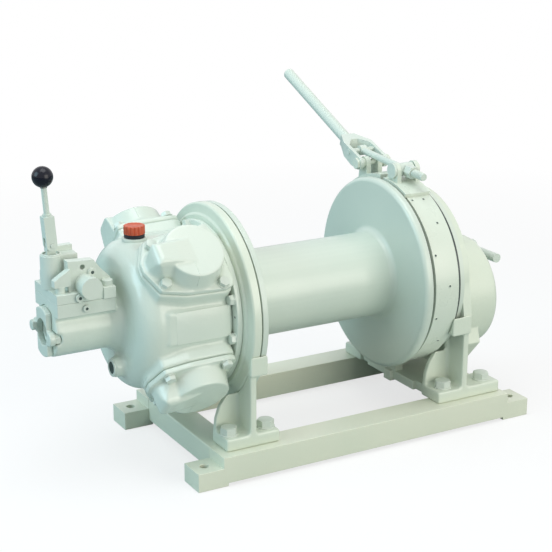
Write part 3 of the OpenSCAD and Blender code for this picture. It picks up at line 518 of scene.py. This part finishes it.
# %% Cast skin
def cast_skin(name, builders, grain, fillet, rounding, keep, pocket=None):
    """grain is the cube size and fillet the corner radius, in metres; keep is the share of faces kept.
    pocket is a closed piece whose form is cut out of the skin."""
    joined = bmesh.new()
    for builder in builders:
        pour(builder, joined)
    piece = make_piece(name, joined)

    def cubes():
        step = piece.modifiers.new("cubes", "REMESH")
        step.mode = "VOXEL"
        step.voxel_size = grain

    def swell(by):
        step = piece.modifiers.new("swell", "DISPLACE")
        step.strength = by
        step.mid_level = 0

    def soften(times):
        step = piece.modifiers.new("soften", "SMOOTH")
        step.factor = 0.5
        step.iterations = times

    cubes()
    if pocket:
        cut = piece.modifiers.new("pocket", "BOOLEAN")
        cut.operation = "DIFFERENCE"
        cut.object = pocket
        cubes()
    soften(2)
    swell(fillet)
    cubes()
    soften(3)
    swell(-fillet)
    cubes()
    soften(rounding)
    thin = piece.modifiers.new("thin_out", "DECIMATE")
    thin.ratio = keep
    settle(piece)
    return smooth_faces(piece)

# %% Cutting an open copy
def half_of(builder, point, keep_side):
    """Cuts the builder with the plane through point and keeps the side that keep_side points to."""
    everything = list(builder.verts) + list(builder.edges) + list(builder.faces)
    cut = bmesh.ops.bisect_plane(
        builder, geom=everything, dist=0.00001, plane_co=point, plane_no=keep_side, clear_inner=True)
    rim = [part for part in cut["geom_cut"] if isinstance(part, bmesh.types.BMEdge)]
    bmesh.ops.holes_fill(builder, edges=rim, sides=0)
    return builder

# %% [markdown]
# ## The four cylinder heads
# The heads are the shape that gives the motor its character: a flange with a pointed nose, a round cover
# with sloping sides, and a rounded ridge that leads the air in from the valve's end. All four are made from
# one solid, the front upper head, turned upright. The two at the rear end blunt on the valve's side, so their
# nose is cut off before they get their skin. The seat below the flange belongs to the motor's housing.

# %% Measures of the motor
shaft = joint_at["drum_turn"]
HEAD_REACH = 73 * MM         # from a head's middle to the drum side of its flange
SEAT_TOP = 158 * MM          # these two are heights above the shaft
FLANGE_TOP = 170 * MM
MOTOR_TURN = 3               # degrees that the whole motor is turned on the shaft
FIRST_HEAD = 45 - MOTOR_TURN
head_angles = {"head_front_top": FIRST_HEAD, "head_front_low": FIRST_HEAD + 90,
               "head_rear_top": FIRST_HEAD - 90, "head_rear_low": FIRST_HEAD - 180}
head_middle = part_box("head_front_top")[1].x - HEAD_REACH


def upright(angle):
    """From a head's own frame, where the cylinder stands up along z, to the winch's frame."""
    return (Matrix.Translation((head_middle, 0, shaft.z))
            @ Matrix.Rotation(math.radians(angle), 4, "X"))


print("head middle at x =", round(head_middle, 4))

# %% Head castings
HEAD_JOINT = 0.8 * MM
REAR_HEAD_END = -61 * MM


def head_casting(name, left_end):
    """left_end cuts the nose off at that place along the shaft, measured from the head's middle."""
    cover = welded("head_front_top")
    bmesh.ops.transform(cover, matrix=upright(FIRST_HEAD).inverted(), verts=cover.verts)
    half_of(cover, (0, 0, SEAT_TOP + HEAD_JOINT), (0, 0, 1))
    if left_end is not None:
        half_of(cover, (left_end, 0, 0), (1, 0, 0))
    casting = cast_skin(name, [cover], grain=0.00145, fillet=0.003, rounding=4, keep=0.30)
    mesh = casting.data
    bpy.data.objects.remove(casting)
    return mesh


front_head = head_casting("front_head_casting", None)
rear_head = head_casting("rear_head_casting", REAR_HEAD_END)
head_pieces = {}
for head_name, angle in head_angles.items():
    mesh = (front_head if "front" in head_name else rear_head).copy()
    mesh.transform(upright(angle))
    head = bpy.data.objects.new(head_name + "_casting", mesh)
    bpy.context.scene.collection.objects.link(head)
    head_pieces[head_name] = hand_over(head, "base", slot_of[head_name], [head_name])
print("head faces:", len(front_head.polygons), len(rear_head.polygons))

# %% [markdown]
# ## The motor's housing
# Housing, filler boss, drain boss, air duct and the four seats are one casting, so they go into one skin
# with a wide fillet. The seats come from the heads' solids, cut at the joint. The duct has a small notch for
# the nut of the inlet flange. The panel on each side keeps its crisp rim and is laid on as a thin plate.

# %% Seats and boss
REAR_SEAT_END = REAR_HEAD_END - 2 * MM
BOSS_TOP = 459.2 * MM
seats = []
for head_name, angle in head_angles.items():
    seat = welded(head_name)
    outward = upright(angle).to_3x3() @ Vector((0, 0, 1))
    half_of(seat, shaft + outward * SEAT_TOP, -outward)
    if "rear" in head_name:
        half_of(seat, (head_middle + REAR_SEAT_END, 0, 0), (1, 0, 0))
    seats.append(seat)
low_boss = half_of(welded("filler_boss"), (0, 0, BOSS_TOP), (0, 0, -1))
print("seats:", len(seats))

# %% Inlet measures and the notch for the nut
DUCT_HEIGHT = 303 * MM
FLANGE_THICKNESS = 12 * MM
BOLT_REACH = 33 * MM
flange_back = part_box("inlet_flange")[1].x
inlet_face = flange_back - FLANGE_THICKNESS
bolt_turn = math.radians(10)
inlet_bolts = [(reach * math.cos(bolt_turn), DUCT_HEIGHT + reach * math.sin(bolt_turn))
               for reach in (BOLT_REACH, -BOLT_REACH)]
NOTCH_SIZE = Vector((12.5 * MM, 44 * MM, 22.5 * MM))
notch_middle = Vector((flange_back - 2 * MM + NOTCH_SIZE.x / 2,
                       inlet_bolts[1][0] - 12.5 * MM, inlet_bolts[1][1] + 1 * MM))
notch = bmesh.new()
bmesh.ops.create_cube(notch, size=1)
for corner in notch.verts:
    corner.co = notch_middle + corner.co * NOTCH_SIZE
pocket = make_piece("nut_pocket", notch)
print("notch middle:", [round(v, 4) for v in notch_middle])

# %% Housing
BLOCK_UNDERSIDE = 343 * MM
web = half_of(welded("valve_body"), (0, 0, BLOCK_UNDERSIDE + 2 * MM), (0, 0, -1))
housing = cast_skin("motor_casting", [welded("motor_housing"), low_boss, welded("air_duct"), web] + seats,
                    grain=0.0020, fillet=0.0055, rounding=5, keep=0.34, pocket=pocket)
bpy.data.objects.remove(pocket)
hand_over(housing, "base", slot_of["motor_housing"], ["motor_housing", "filler_boss", "air_duct"])
print("housing faces:", len(housing.data.polygons))

# %% Side panels
PANEL_LEFT, PANEL_RIGHT = head_middle - 47 * MM, head_middle + 68 * MM
PANEL_INNER, PANEL_OUTER = 139 * MM, 151.4 * MM
PANEL_HALF_HEIGHT = 31.5 * MM
PANEL_RADIUS = 1.6 * MM


def rounded_block(name, low, high, radius, place):
    builder = bmesh.new()
    bmesh.ops.create_cube(builder, size=1)
    low, high = Vector(low), Vector(high)
    for corner in builder.verts:
        corner.co = (low + high) / 2 + corner.co * (high - low)
    bmesh.ops.bevel(builder, geom=builder.edges, offset=radius, segments=3, profile=0.5, affect="EDGES")
    return smooth_faces(make_piece(name, builder, place), 40)


on_motor = Matrix.Translation(shaft) @ Matrix.Rotation(math.radians(-MOTOR_TURN), 4, "X")
for side, where in ((-1, "front"), (1, "rear")):
    near, far = sorted((side * PANEL_INNER, side * PANEL_OUTER))
    panel = rounded_block("side_panel_" + where, (PANEL_LEFT, near, -PANEL_HALF_HEIGHT),
                          (PANEL_RIGHT, far, PANEL_HALF_HEIGHT), PANEL_RADIUS, on_motor)
    hand_over(panel, "base", slot_of["motor_housing"])
    print(panel.name, "from", round(near, 4), "to", round(far, 4))

# %% [markdown]
# ## Inlet flange and valve block
# The inlet flange is a thinner casting with smaller radii, so it has its own fine skin. The valve block is
# machined, not cast: the valve's solid is cut at the block's underside, and what is above is split at the
# joint between its two halves and rounded like a machined block.

# %% Rings of corners, for everything turned
def ring(builder, radius_at, height_at, spokes=48):
    corners = []
    for spoke in range(spokes):
        angle = 2 * math.pi * spoke / spokes
        radius = radius_at(angle)
        corners.append(builder.verts.new(
            (radius * math.cos(angle), radius * math.sin(angle), height_at(radius))))
    return corners


def skin_rings(builder, rings):
    """Walls from ring to ring, with a lid on both ends."""
    for low, high in zip(rings, rings[1:]):
        for k in range(len(low)):
            n = (k + 1) % len(low)
            builder.faces.new((low[k], low[n], high[n], high[k]))
    builder.faces.new(rings[-1])
    builder.faces.new(rings[0][::-1])

# %% Inlet flange
PORT_RADIUS = 25.8 * MM
PORT_DEPTH = 21.5 * MM
port = bmesh.new()
skin_rings(port, [ring(port, lambda a: PORT_RADIUS, lambda r, x=x: x, 64) for x in (-2 * MM, PORT_DEPTH)])
port_mouth = Matrix.Translation((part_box("inlet_flange")[0].x, 0, DUCT_HEIGHT))
port_cut = make_piece("port_cut", port, port_mouth @ Matrix.Rotation(math.pi / 2, 4, "Y"))
flange_skin = cast_skin("inlet_flange_casting", [welded("inlet_flange")], grain=0.0011, fillet=0.0012,
                        rounding=3, keep=0.30, pocket=port_cut)
bpy.data.objects.remove(port_cut)
hand_over(flange_skin, "base", slot_of["inlet_flange"], ["inlet_flange"])
print("inlet flange faces:", len(flange_skin.data.polygons))

# %% Valve block, in two halves with a joint between them
BLOCK_JOINT = 369 * MM
BLOCK_RADIUS = 1.6 * MM
for half_name, cuts in (("lower", ((BLOCK_UNDERSIDE + 0.1 * MM, 1), (BLOCK_JOINT, -1))),
                        ("upper", ((BLOCK_JOINT + 0.2 * MM, 1),))):
    block = welded("valve_body")
    for height, side in cuts:
        half_of(block, (0, 0, height), (0, 0, side))
    merge_flats(block)
    block_half = machined(make_piece("valve_block_" + half_name, block), BLOCK_RADIUS, steps=3)
    hand_over(block_half, "base", slot_of["valve_body"], ["valve_body"])
    print(block_half.name, "faces:", len(block_half.data.polygons))

# %% [markdown]
# ## Brake band and drum track
# The band runs a little away from the rope flange, which leaves a dark gap. The drum under the band is bare,
# oily iron, and the same dark colour runs on past the band's edge as a painted shade along the gap; the
# enamel only starts after it, so the track needs two finishes by place along the shaft.

# %% Brake band
FLANGE_SIDE_TO = 145.5 * MM  # all corners of the band's flange side lie before this
BAND_GAP = 4.5 * MM
band = welded("brake_band")
for corner in band.verts:
    if corner.co.x < FLANGE_SIDE_TO:
        corner.co.x += BAND_GAP
merge_flats(band)
narrow_band = machined(make_piece("brake_band_narrow", band), 1 * MM, steps=2)
hand_over(narrow_band, "base", slot_of["brake_band"], ["brake_band"])
print("band faces:", len(narrow_band.data.polygons))

# %% Drum track
TRACK_END = 218.5 * MM
PAINT_EDGE = 0.7 * MM
# Dark iron colour up to TRACK_END: the bare drum under the band, and painted shade along the gap beside it.
bare_iron_and_gap_shade = srgb(50, 61, 60)
track_and_gap_shade_paint = enamel[slot_of["brake_drum"]].copy()
track_and_gap_shade_paint.name = "drum_track_paint"
track = track_and_gap_shade_paint.node_tree
track_colour = track.nodes["Principled BSDF"].inputs["Base Color"]
painted = track_colour.links[0].from_socket
place = track.nodes.new("ShaderNodeTexCoord")
along = track.nodes.new("ShaderNodeSeparateXYZ")
track.links.new(place.outputs["Object"], along.inputs[0])
past_track = remap(track, along.outputs["X"], TRACK_END, TRACK_END + PAINT_EDGE, 0, 1)
track.links.new(mix_colour(track, past_track, bare_iron_and_gap_shade, painted), track_colour)
frame["nodes"]["brake_drum"].data.materials[0] = track_and_gap_shade_paint
print("bare track up to x =", TRACK_END)

# %% [markdown]
# ## The legs
# Each leg is a casting with a foot plate, a rib, a wall and a block, and fillets run between all of them.
# Bevels would give the outer edges but not these inner corners, so the legs get a cast skin too, with finer
# cubes than the motor's because their walls are thin.

# %% Leg castings
for leg_name in ("motor_leg_front", "motor_leg_rear", "brake_leg_front", "brake_leg_rear"):
    leg = cast_skin(leg_name + "_casting", [welded(leg_name)], grain=0.0018, fillet=0.004, rounding=3,
                    keep=0.34)
    hand_over(leg, "base", slot_of[leg_name], [leg_name])
    print(leg_name, "faces:", len(leg.data.polygons))

# %% [markdown]
# ## Bolts
# A hexagon head isn't a plain prism. Its corners are turned off at a slope of one in two, which leaves an arc
# on each flat and a round face on top. The head is built as 48 spokes: each spoke ends on the hexagon, and
# its top sinks by half of what it reaches past the round face. A washer with a small chamfer lies below.

# %% Hexagon bolts
ROUND_FACE = 0.955           # its share of the width over the flats
CORNER_SLOPE = 0.50


def hexagon_reach(across, angle):
    return across / 2 / math.cos((angle + math.pi / 6) % (math.pi / 3) - math.pi / 6)


def bolt_head(builder, across, height, from_z):
    face = across / 2 * ROUND_FACE

    def hexagon(angle):
        return hexagon_reach(across, angle)

    skin_rings(builder, [
        ring(builder, hexagon, lambda r: from_z),
        ring(builder, hexagon, lambda r: from_z + height - (r - face) * CORNER_SLOPE),
        ring(builder, lambda a: face, lambda r: from_z + height),
        ring(builder, lambda a: face * 0.93, lambda r: from_z + height + 0.2 * MM)])


def disc(builder, radius, height, chamfer=0.5 * MM):
    skin_rings(builder, [
        ring(builder, lambda a: radius, lambda r: 0),
        ring(builder, lambda a: radius, lambda r: height - chamfer),
        ring(builder, lambda a: radius - chamfer, lambda r: height)])


def standing_on(point, outward, spin=0.0):
    """A frame with its z along outward, at point, turned by spin degrees about it."""
    turned = Vector(outward).normalized().to_track_quat("Z", "Y").to_matrix().to_4x4()
    return Matrix.Translation(point) @ turned @ Matrix.Rotation(math.radians(spin), 4, "Z")


def add_bolt(builder, place, across, height, washer=(0, 0)):
    """across is the width over the flats and washer is (radius, thickness)."""
    fresh = bmesh.new()
    if washer[1] > 0:
        disc(fresh, *washer)
    bolt_head(fresh, across, height, washer[1])
    pour(fresh, builder, place)


spin_of = random.Random(41)
print("reach of a 30 mm hexagon at its corner:", round(hexagon_reach(30, math.pi / 6), 2), "mm")

# %% Foot bolts
FOOT_BOLT = {"across": 30 * MM, "height": 13.5 * MM, "washer": (18.5 * MM, 3 * MM)}
FOOT_BOLTS_ALONG = (-308 * MM, -226 * MM, 204 * MM, 304 * MM)
FOOT_BOLTS_ASIDE = 158.5 * MM
foot_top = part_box("stand_bolts")[0].z
feet = bmesh.new()
for x in FOOT_BOLTS_ALONG:
    for y in (-FOOT_BOLTS_ASIDE, FOOT_BOLTS_ASIDE):
        add_bolt(feet, standing_on((x, y, foot_top), (0, 0, 1), spin_of.uniform(0, 60)), **FOOT_BOLT)
finished("foot_bolts", feet, slot_of["stand_bolts"], 24, stands_for=["stand_bolts"])
print("foot bolts stand on z =", round(foot_top, 4))

# %% Head bolts
HEAD_BOLT = {"across": 19 * MM, "height": 9 * MM, "washer": (12.5 * MM, 2 * MM)}
VALVE_SIDE_ALONG = {"front": -65 * MM, "rear": -49 * MM}
VALVE_SIDE_ASIDE = 43.5 * MM
DRUM_SIDE = (49 * MM, 60 * MM)
heads = bmesh.new()
for head_name, angle in head_angles.items():
    valve_side = (VALVE_SIDE_ALONG[head_name.split("_")[1]], VALVE_SIDE_ASIDE)
    for along_head, aside in (valve_side, DRUM_SIDE):
        for side in (-1, 1):
            foot = Matrix.Translation((along_head, side * aside, FLANGE_TOP - 0.3 * MM))
            spin = Matrix.Rotation(math.radians(spin_of.uniform(0, 60)), 4, "Z")
            add_bolt(heads, upright(angle) @ foot @ spin, **HEAD_BOLT)
finished("head_bolts", heads, slot_of["stand_bolts"], 24)
print("head bolts:", 4 * len(head_angles))

# %% Motor flange bolts
FLANGE_BOLT = {"across": 18.5 * MM, "height": 9.5 * MM, "washer": (11.2 * MM, 1.6 * MM)}
BOLT_CIRCLE = 158 * MM
PAIR_MIDDLES = (86.6, 0.5, 177, -93)
HALF_PAIR = 14.1
flange_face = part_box("motor_flange")[0].x


def on_flange(angle):
    """The place on the bolt circle that is angle degrees in front of the top."""
    around = math.radians(angle)
    return flange_face, -BOLT_CIRCLE * math.sin(around), shaft.z + BOLT_CIRCLE * math.cos(around)


flange_bolts = bmesh.new()
for middle in PAIR_MIDDLES:
    for angle in (middle - HALF_PAIR, middle + HALF_PAIR):
        place = standing_on(on_flange(angle), (-1, 0, 0), spin_of.uniform(0, 60))
        add_bolt(flange_bolts, place, **FLANGE_BOLT)
finished("motor_flange_bolts", flange_bolts, slot_of["stand_bolts"], 24)
print("flange bolts:", 2 * len(PAIR_MIDDLES))

# %% Inlet bolts
upper_bolt, lower_bolt = inlet_bolts
inlet = bmesh.new()
add_bolt(inlet, standing_on((inlet_face, *upper_bolt), (-1, 0, 0), 12), 18.5 * MM, 8.5 * MM)
add_bolt(inlet, standing_on((flange_back, *upper_bolt), (1, 0, 0), 40), 18.5 * MM, 9 * MM)
nut_in_notch = (flange_back - 0.5 * MM, lower_bolt[0] - 4 * MM, lower_bolt[1])
add_bolt(inlet, standing_on(nut_in_notch, (1, 0, 0), 8), 19 * MM, 9.5 * MM)
finished("inlet_bolts", inlet, slot_of["stand_bolts"], 24)
print("inlet bolts at y, z:", [[round(v, 4) for v in bolt] for bolt in inlet_bolts])

# %% [markdown]
# ## Turned pieces
# The filler cap and the knob are turned or moulded round, so each is an outline swept around its axis. The
# cap's grip is a row of shallow scallops: the radius of the sweep shrinks a little sixteen times around.

# %% Outlines swept around an axis
def swept(outline, spokes=72, scallops=0, scallop_depth=0.0):
    """outline is a list of (radius, height) or (radius, height, grip). grip, from 0 to 1, is how much of a
    scallop shows there."""
    builder = bmesh.new()
    rings = []
    for radius, height, *grip in outline:
        def reach(angle, radius=radius, grip=grip):
            if not scallops:
                return radius
            bite = abs(math.sin(angle * scallops / 2))
            return radius - scallop_depth * grip[0] * (1 - bite) ** 1.5
        rings.append(ring(builder, reach, lambda r, height=height: height, spokes))
    skin_rings(builder, rings)
    return builder

# %% Filler cap with its rings
CAP_RADIUS = 21 * MM
SEAT_RADIUS = 24.6 * MM
cap_low, cap_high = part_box("filler_cap")
cap_bottom, cap_top = cap_low.z, cap_high.z
cap_place = Matrix.Translation(((cap_low.x + cap_high.x) / 2, (cap_low.y + cap_high.y) / 2, 0))
cap = swept([
    (0.0175, cap_top - 0.0168, 0.0), (CAP_RADIUS - 0.0006, cap_top - 0.0166, 0.4),
    (CAP_RADIUS, cap_top - 0.0158, 1.0), (CAP_RADIUS, cap_top - 0.0022, 1.0),
    (CAP_RADIUS - 0.0004, cap_top - 0.0009, 0.9), (CAP_RADIUS - 0.0013, cap_top - 0.0002, 0.6),
    (0.0178, cap_top, 0.1), (0.0150, cap_top, 0.0), (0.0143, cap_top - 0.0007, 0.0),
    (0.0020, cap_top - 0.0007, 0.0)], spokes=144, scallops=16, scallop_depth=2.4 * MM)
finished("filler_cap_scalloped", cap, slot_of["filler_cap"], 50, cap_place, stands_for=["filler_cap"])
seal = swept([(0.0180, cap_bottom - 0.0010), (0.0198, cap_bottom), (0.0201, cap_bottom + 0.0010),
              (0.0201, cap_top - 0.0175), (0.0170, cap_top - 0.0166)])
finished("filler_cap_seal", seal, slot_of["filler_cap"], 50, cap_place, finish=black_rubber)
seat_ring = swept([(SEAT_RADIUS, BOSS_TOP - 0.0022), (SEAT_RADIUS, cap_bottom - 0.0012),
                   (SEAT_RADIUS - 0.0006, cap_bottom - 0.0002), (0.0100, cap_bottom - 0.0002)])
finished("filler_seat_ring", seat_ring, slot_of["filler_boss"], 50, cap_place)
print("cap from", round(cap_bottom, 4), "to", round(cap_top, 4))

# %% Ball knob
KNOB_STEPS = 48
NECK = (6.8 * MM, 1.02)      # its radius, and how far it reaches in knob radii
knob_low, knob_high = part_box("ball_knob")
knob_middle = (knob_low + knob_high) / 2
knob_radius = (knob_high.x - knob_low.x) / 2
ball = [(NECK[0], -knob_radius * NECK[1])]
for step in range(3, KNOB_STEPS + 1):
    bow = math.pi * step / KNOB_STEPS
    ball.append((knob_radius * math.sin(bow) + 0.01 * MM, -knob_radius * math.cos(bow)))
finished("ball_knob_resin", swept(ball, 64), slot_of["ball_knob"], 60,
         standing_on(knob_middle, knob_middle - joint_at["valve_lever"]),
         body="control_lever", stands_for=["ball_knob"])
print("knob radius:", round(knob_radius, 4), "at", [round(v, 4) for v in knob_middle])

# %% [markdown]
# ## Screws, plugs and rivets
# The small round pieces are turned too. A socket screw is a short cylinder with a dark recess, the drain
# plug is a ring with a deep socket, and the rivets of the brake band are flush rings with a dark middle. The
# dark recesses and middles are discs of painted shade.

# %% Round pieces with a dark middle
def ringed(rings_in, darks_in, place, radius, height, socket, depth=0.4 * MM):
    """Adds a chamfered ring to rings_in, and to darks_in a dark disc of painted shade that fills its socket.
    """
    outline = [(radius, -2 * MM), (radius, height - 0.6 * MM), (radius - 0.6 * MM, height),
               (socket, height), (socket - 0.2 * MM, height - 0.8 * MM)]
    middle = [(socket + 0.1 * MM, height - 1.2 * MM), (socket, height - depth)]
    pour(swept(outline, 40), rings_in, place)
    pour(swept(middle, 40), darks_in, place)

# %% Band rivets
RIVET_LEVEL = 199 * MM
RIVETS = ((28.3, 157), (28.6, 184), (47.1, 184.7), (66.6, 156.5), (85.9, 183.7), (105.6, 157), (125, 184),
          (150.5, 173.5), (-60, 157), (-80, 184), (-100, 157), (-120, 184), (-140, 157))
rivet_rings, rivet_middles = bmesh.new(), bmesh.new()
for angle, x in RIVETS:      # degrees in front of the top, and millimetres along the shaft
    outward = Vector((0, -math.sin(math.radians(angle)), math.cos(math.radians(angle))))
    spot = Vector((x * MM, 0, shaft.z)) + outward * RIVET_LEVEL
    ringed(rivet_rings, rivet_middles, standing_on(spot, outward), 4 * MM, 0.7 * MM, 2.5 * MM)
finished("band_rivets", rivet_rings, slot_of["brake_band"], 30)
# The rivets' dark middles are painted shade of their holes.
finished("band_rivet_middles", rivet_middles, slot_of["brake_band"], 30, finish=painted_hole_shade)
print("rivets:", len(RIVETS))

# %% Spool plug
SPOOL_TOP = 451 * MM
spool_plug = swept([(0.0186, 0), (0.0186, 0.0036), (0.0180, 0.0042), (0.0166, 0.0042), (0.0160, 0.0036),
                    (0.0159, 0.0016), (0.0020, 0.0016)], 64)
finished("spool_plug", spool_plug, slot_of["spool_housing"], 40,
         Matrix.Translation((joint_at["valve_lever"].x, -1 * MM, SPOOL_TOP)))
print("spool plug from z =", SPOOL_TOP)

# %% Motor and valve screws
DRAIN = Vector((-497.2, -36, 219)) * MM
LUG_SCREW = Vector((-506, -49, 391)) * MM
VALVE_SCREWS = (((-534, -45, 420), 8.5, 3.0, 3.4), ((-567, -63, 378.5), 8.0, 2.6, 3.2),
                ((-554, -63, 356), 7.0, 1.2, 3.0))
PLUGS_ON_FLANGE = (85, 4.5)
screw_rings, screw_middles = bmesh.new(), bmesh.new()
ringed(screw_rings, screw_middles, standing_on(DRAIN, (-1, 0, 0)), 18.2 * MM, 1.2 * MM, 12.2 * MM, 0.5 * MM)
for point, *measures in VALVE_SCREWS:      # the place, then radius, height and socket radius
    place = standing_on(Vector(point) * MM, (0, -1, 0))
    ringed(screw_rings, screw_middles, place, *[measure * MM for measure in measures])
lug_screw = bmesh.new()
disc(lug_screw, 10.5 * MM, 12.5 * MM, chamfer=1.2 * MM)
pour(lug_screw, screw_rings, Matrix.Translation(LUG_SCREW))
for angle in PLUGS_ON_FLANGE:
    place = standing_on(on_flange(angle), (-1, 0, 0))
    ringed(screw_rings, screw_middles, place, 4 * MM, 0.6 * MM, 2.6 * MM)
finished("small_screws", screw_rings, slot_of["stand_bolts"], 30)
# The dark sockets of the screws and of the drain plug are painted shade.
finished("small_screw_sockets", screw_middles, slot_of["stand_bolts"], 30, finish=painted_hole_shade)
print("screws:", 2 + len(VALVE_SCREWS) + len(PLUGS_ON_FLANGE))

# %% [markdown]
# ## Parting lines
# Where the two halves of a mould met, a casting keeps a thin raised line. On the heads it runs from the edge
# of the ridge over the cover and down its side. Each one is a thin tube, laid on with half of it sunk in. Its
# path is found by shooting rays at the finished casting, so that it follows the skin wherever it bends.

# %% Parting lines on the heads
def tube(builder, points, radius, spokes=8):
    rows = []
    for k, point in enumerate(points):
        ahead = (points[min(k + 1, len(points) - 1)] - points[max(k - 1, 0)]).normalized()
        across_path = ahead.to_track_quat("Z", "X").to_matrix()
        row = []
        for n in range(spokes):
            angle = 2 * math.pi * n / spokes
            spoke = Vector((radius * math.cos(angle), radius * math.sin(angle), 0))
            row.append(builder.verts.new(point + across_path @ spoke))
        rows.append(row)
    skin_rings(builder, rows)


LINE_STARTS, LINE_STEP, LINE_STEPS = 26 * MM, 1.45 * MM, 26
LINE_ALONG = -10 * MM
lines = bmesh.new()
for head_name, angle in head_angles.items():
    inward = upright(angle).to_3x3() @ Vector((0, 0, -1))
    trail = []
    for step in range(LINE_STEPS):
        start = upright(angle) @ Vector((LINE_ALONG, -(LINE_STARTS + step * LINE_STEP), 230 * MM))
        hit, spot, *_ = head_pieces[head_name].ray_cast(start, inward)
        if hit:
            trail.append(spot)
    tube(lines, trail, 0.6 * MM)
    print(head_name, "parting line points:", len(trail))
finished("head_parting_lines", lines, slot_of["head_front_top"])

# %% [markdown]
# ## The thread of the adjusting rod
# The brake is set with the nut on the rod, so the rod's end is threaded. The thread is a real helix with a
# triangular ridge, wound from just behind the nut to the chamfer at the end. The ridge grows out of the rod
# over its first turn and sinks back into it over its last.

# %% Thread
def helix(builder, start_z, length, pitch, root, crest, steps=28):
    """root and crest are radii; steps is how many corners a turn has."""
    rows = []
    total = int(length / pitch * steps)
    for k in range(total + 1):
        angle = 2 * math.pi * k / steps
        height = start_z + pitch * k / steps
        grow = min(1.0, k / steps, (total - k) / steps)
        rows.append([builder.verts.new((radius * math.cos(angle), radius * math.sin(angle), height + shift))
                     for radius, shift in ((root, -pitch * 0.42), (root + (crest - root) * grow, 0.0),
                                           (root, pitch * 0.42))])
    for low, high in zip(rows, rows[1:]):
        for k in range(2):
            builder.faces.new((low[k], high[k], high[k + 1], low[k + 1]))
        builder.faces.new((low[2], high[2], high[0], low[0]))
    builder.faces.new(rows[0])
    builder.faces.new(rows[-1][::-1])
    bmesh.ops.recalc_face_normals(builder, faces=builder.faces)


THREAD_PITCH = 2.4 * MM
THREAD_ROOT, THREAD_CREST = 7.7 * MM, 8.6 * MM
END_CHAMFER = 2.5 * MM
ROD_END_HEIGHT = 531 * MM
rod_pin = joint_at["rod_swing"]
rod_runs = (joint_at["trunnion_swivel"] - rod_pin).normalized()
nut_low, nut_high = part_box("rod_nut")
nut_back = (Vector((rod_pin.x, nut_low.y, (nut_low.z + nut_high.z) / 2)) - rod_pin).dot(rod_runs)
rod_end = (Vector((rod_pin.x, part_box("adjusting_rod")[0].y, ROD_END_HEIGHT)) - rod_pin).dot(rod_runs)
thread = bmesh.new()
helix(thread, nut_back, rod_end - nut_back - END_CHAMFER, THREAD_PITCH, THREAD_ROOT, THREAD_CREST)
finished("rod_thread", thread, slot_of["adjusting_rod"], 30, standing_on(rod_pin, rod_runs),
         body=body_of["adjusting_rod"])
print("thread from", round(nut_back, 4), "to", round(rod_end, 4), "along the rod")
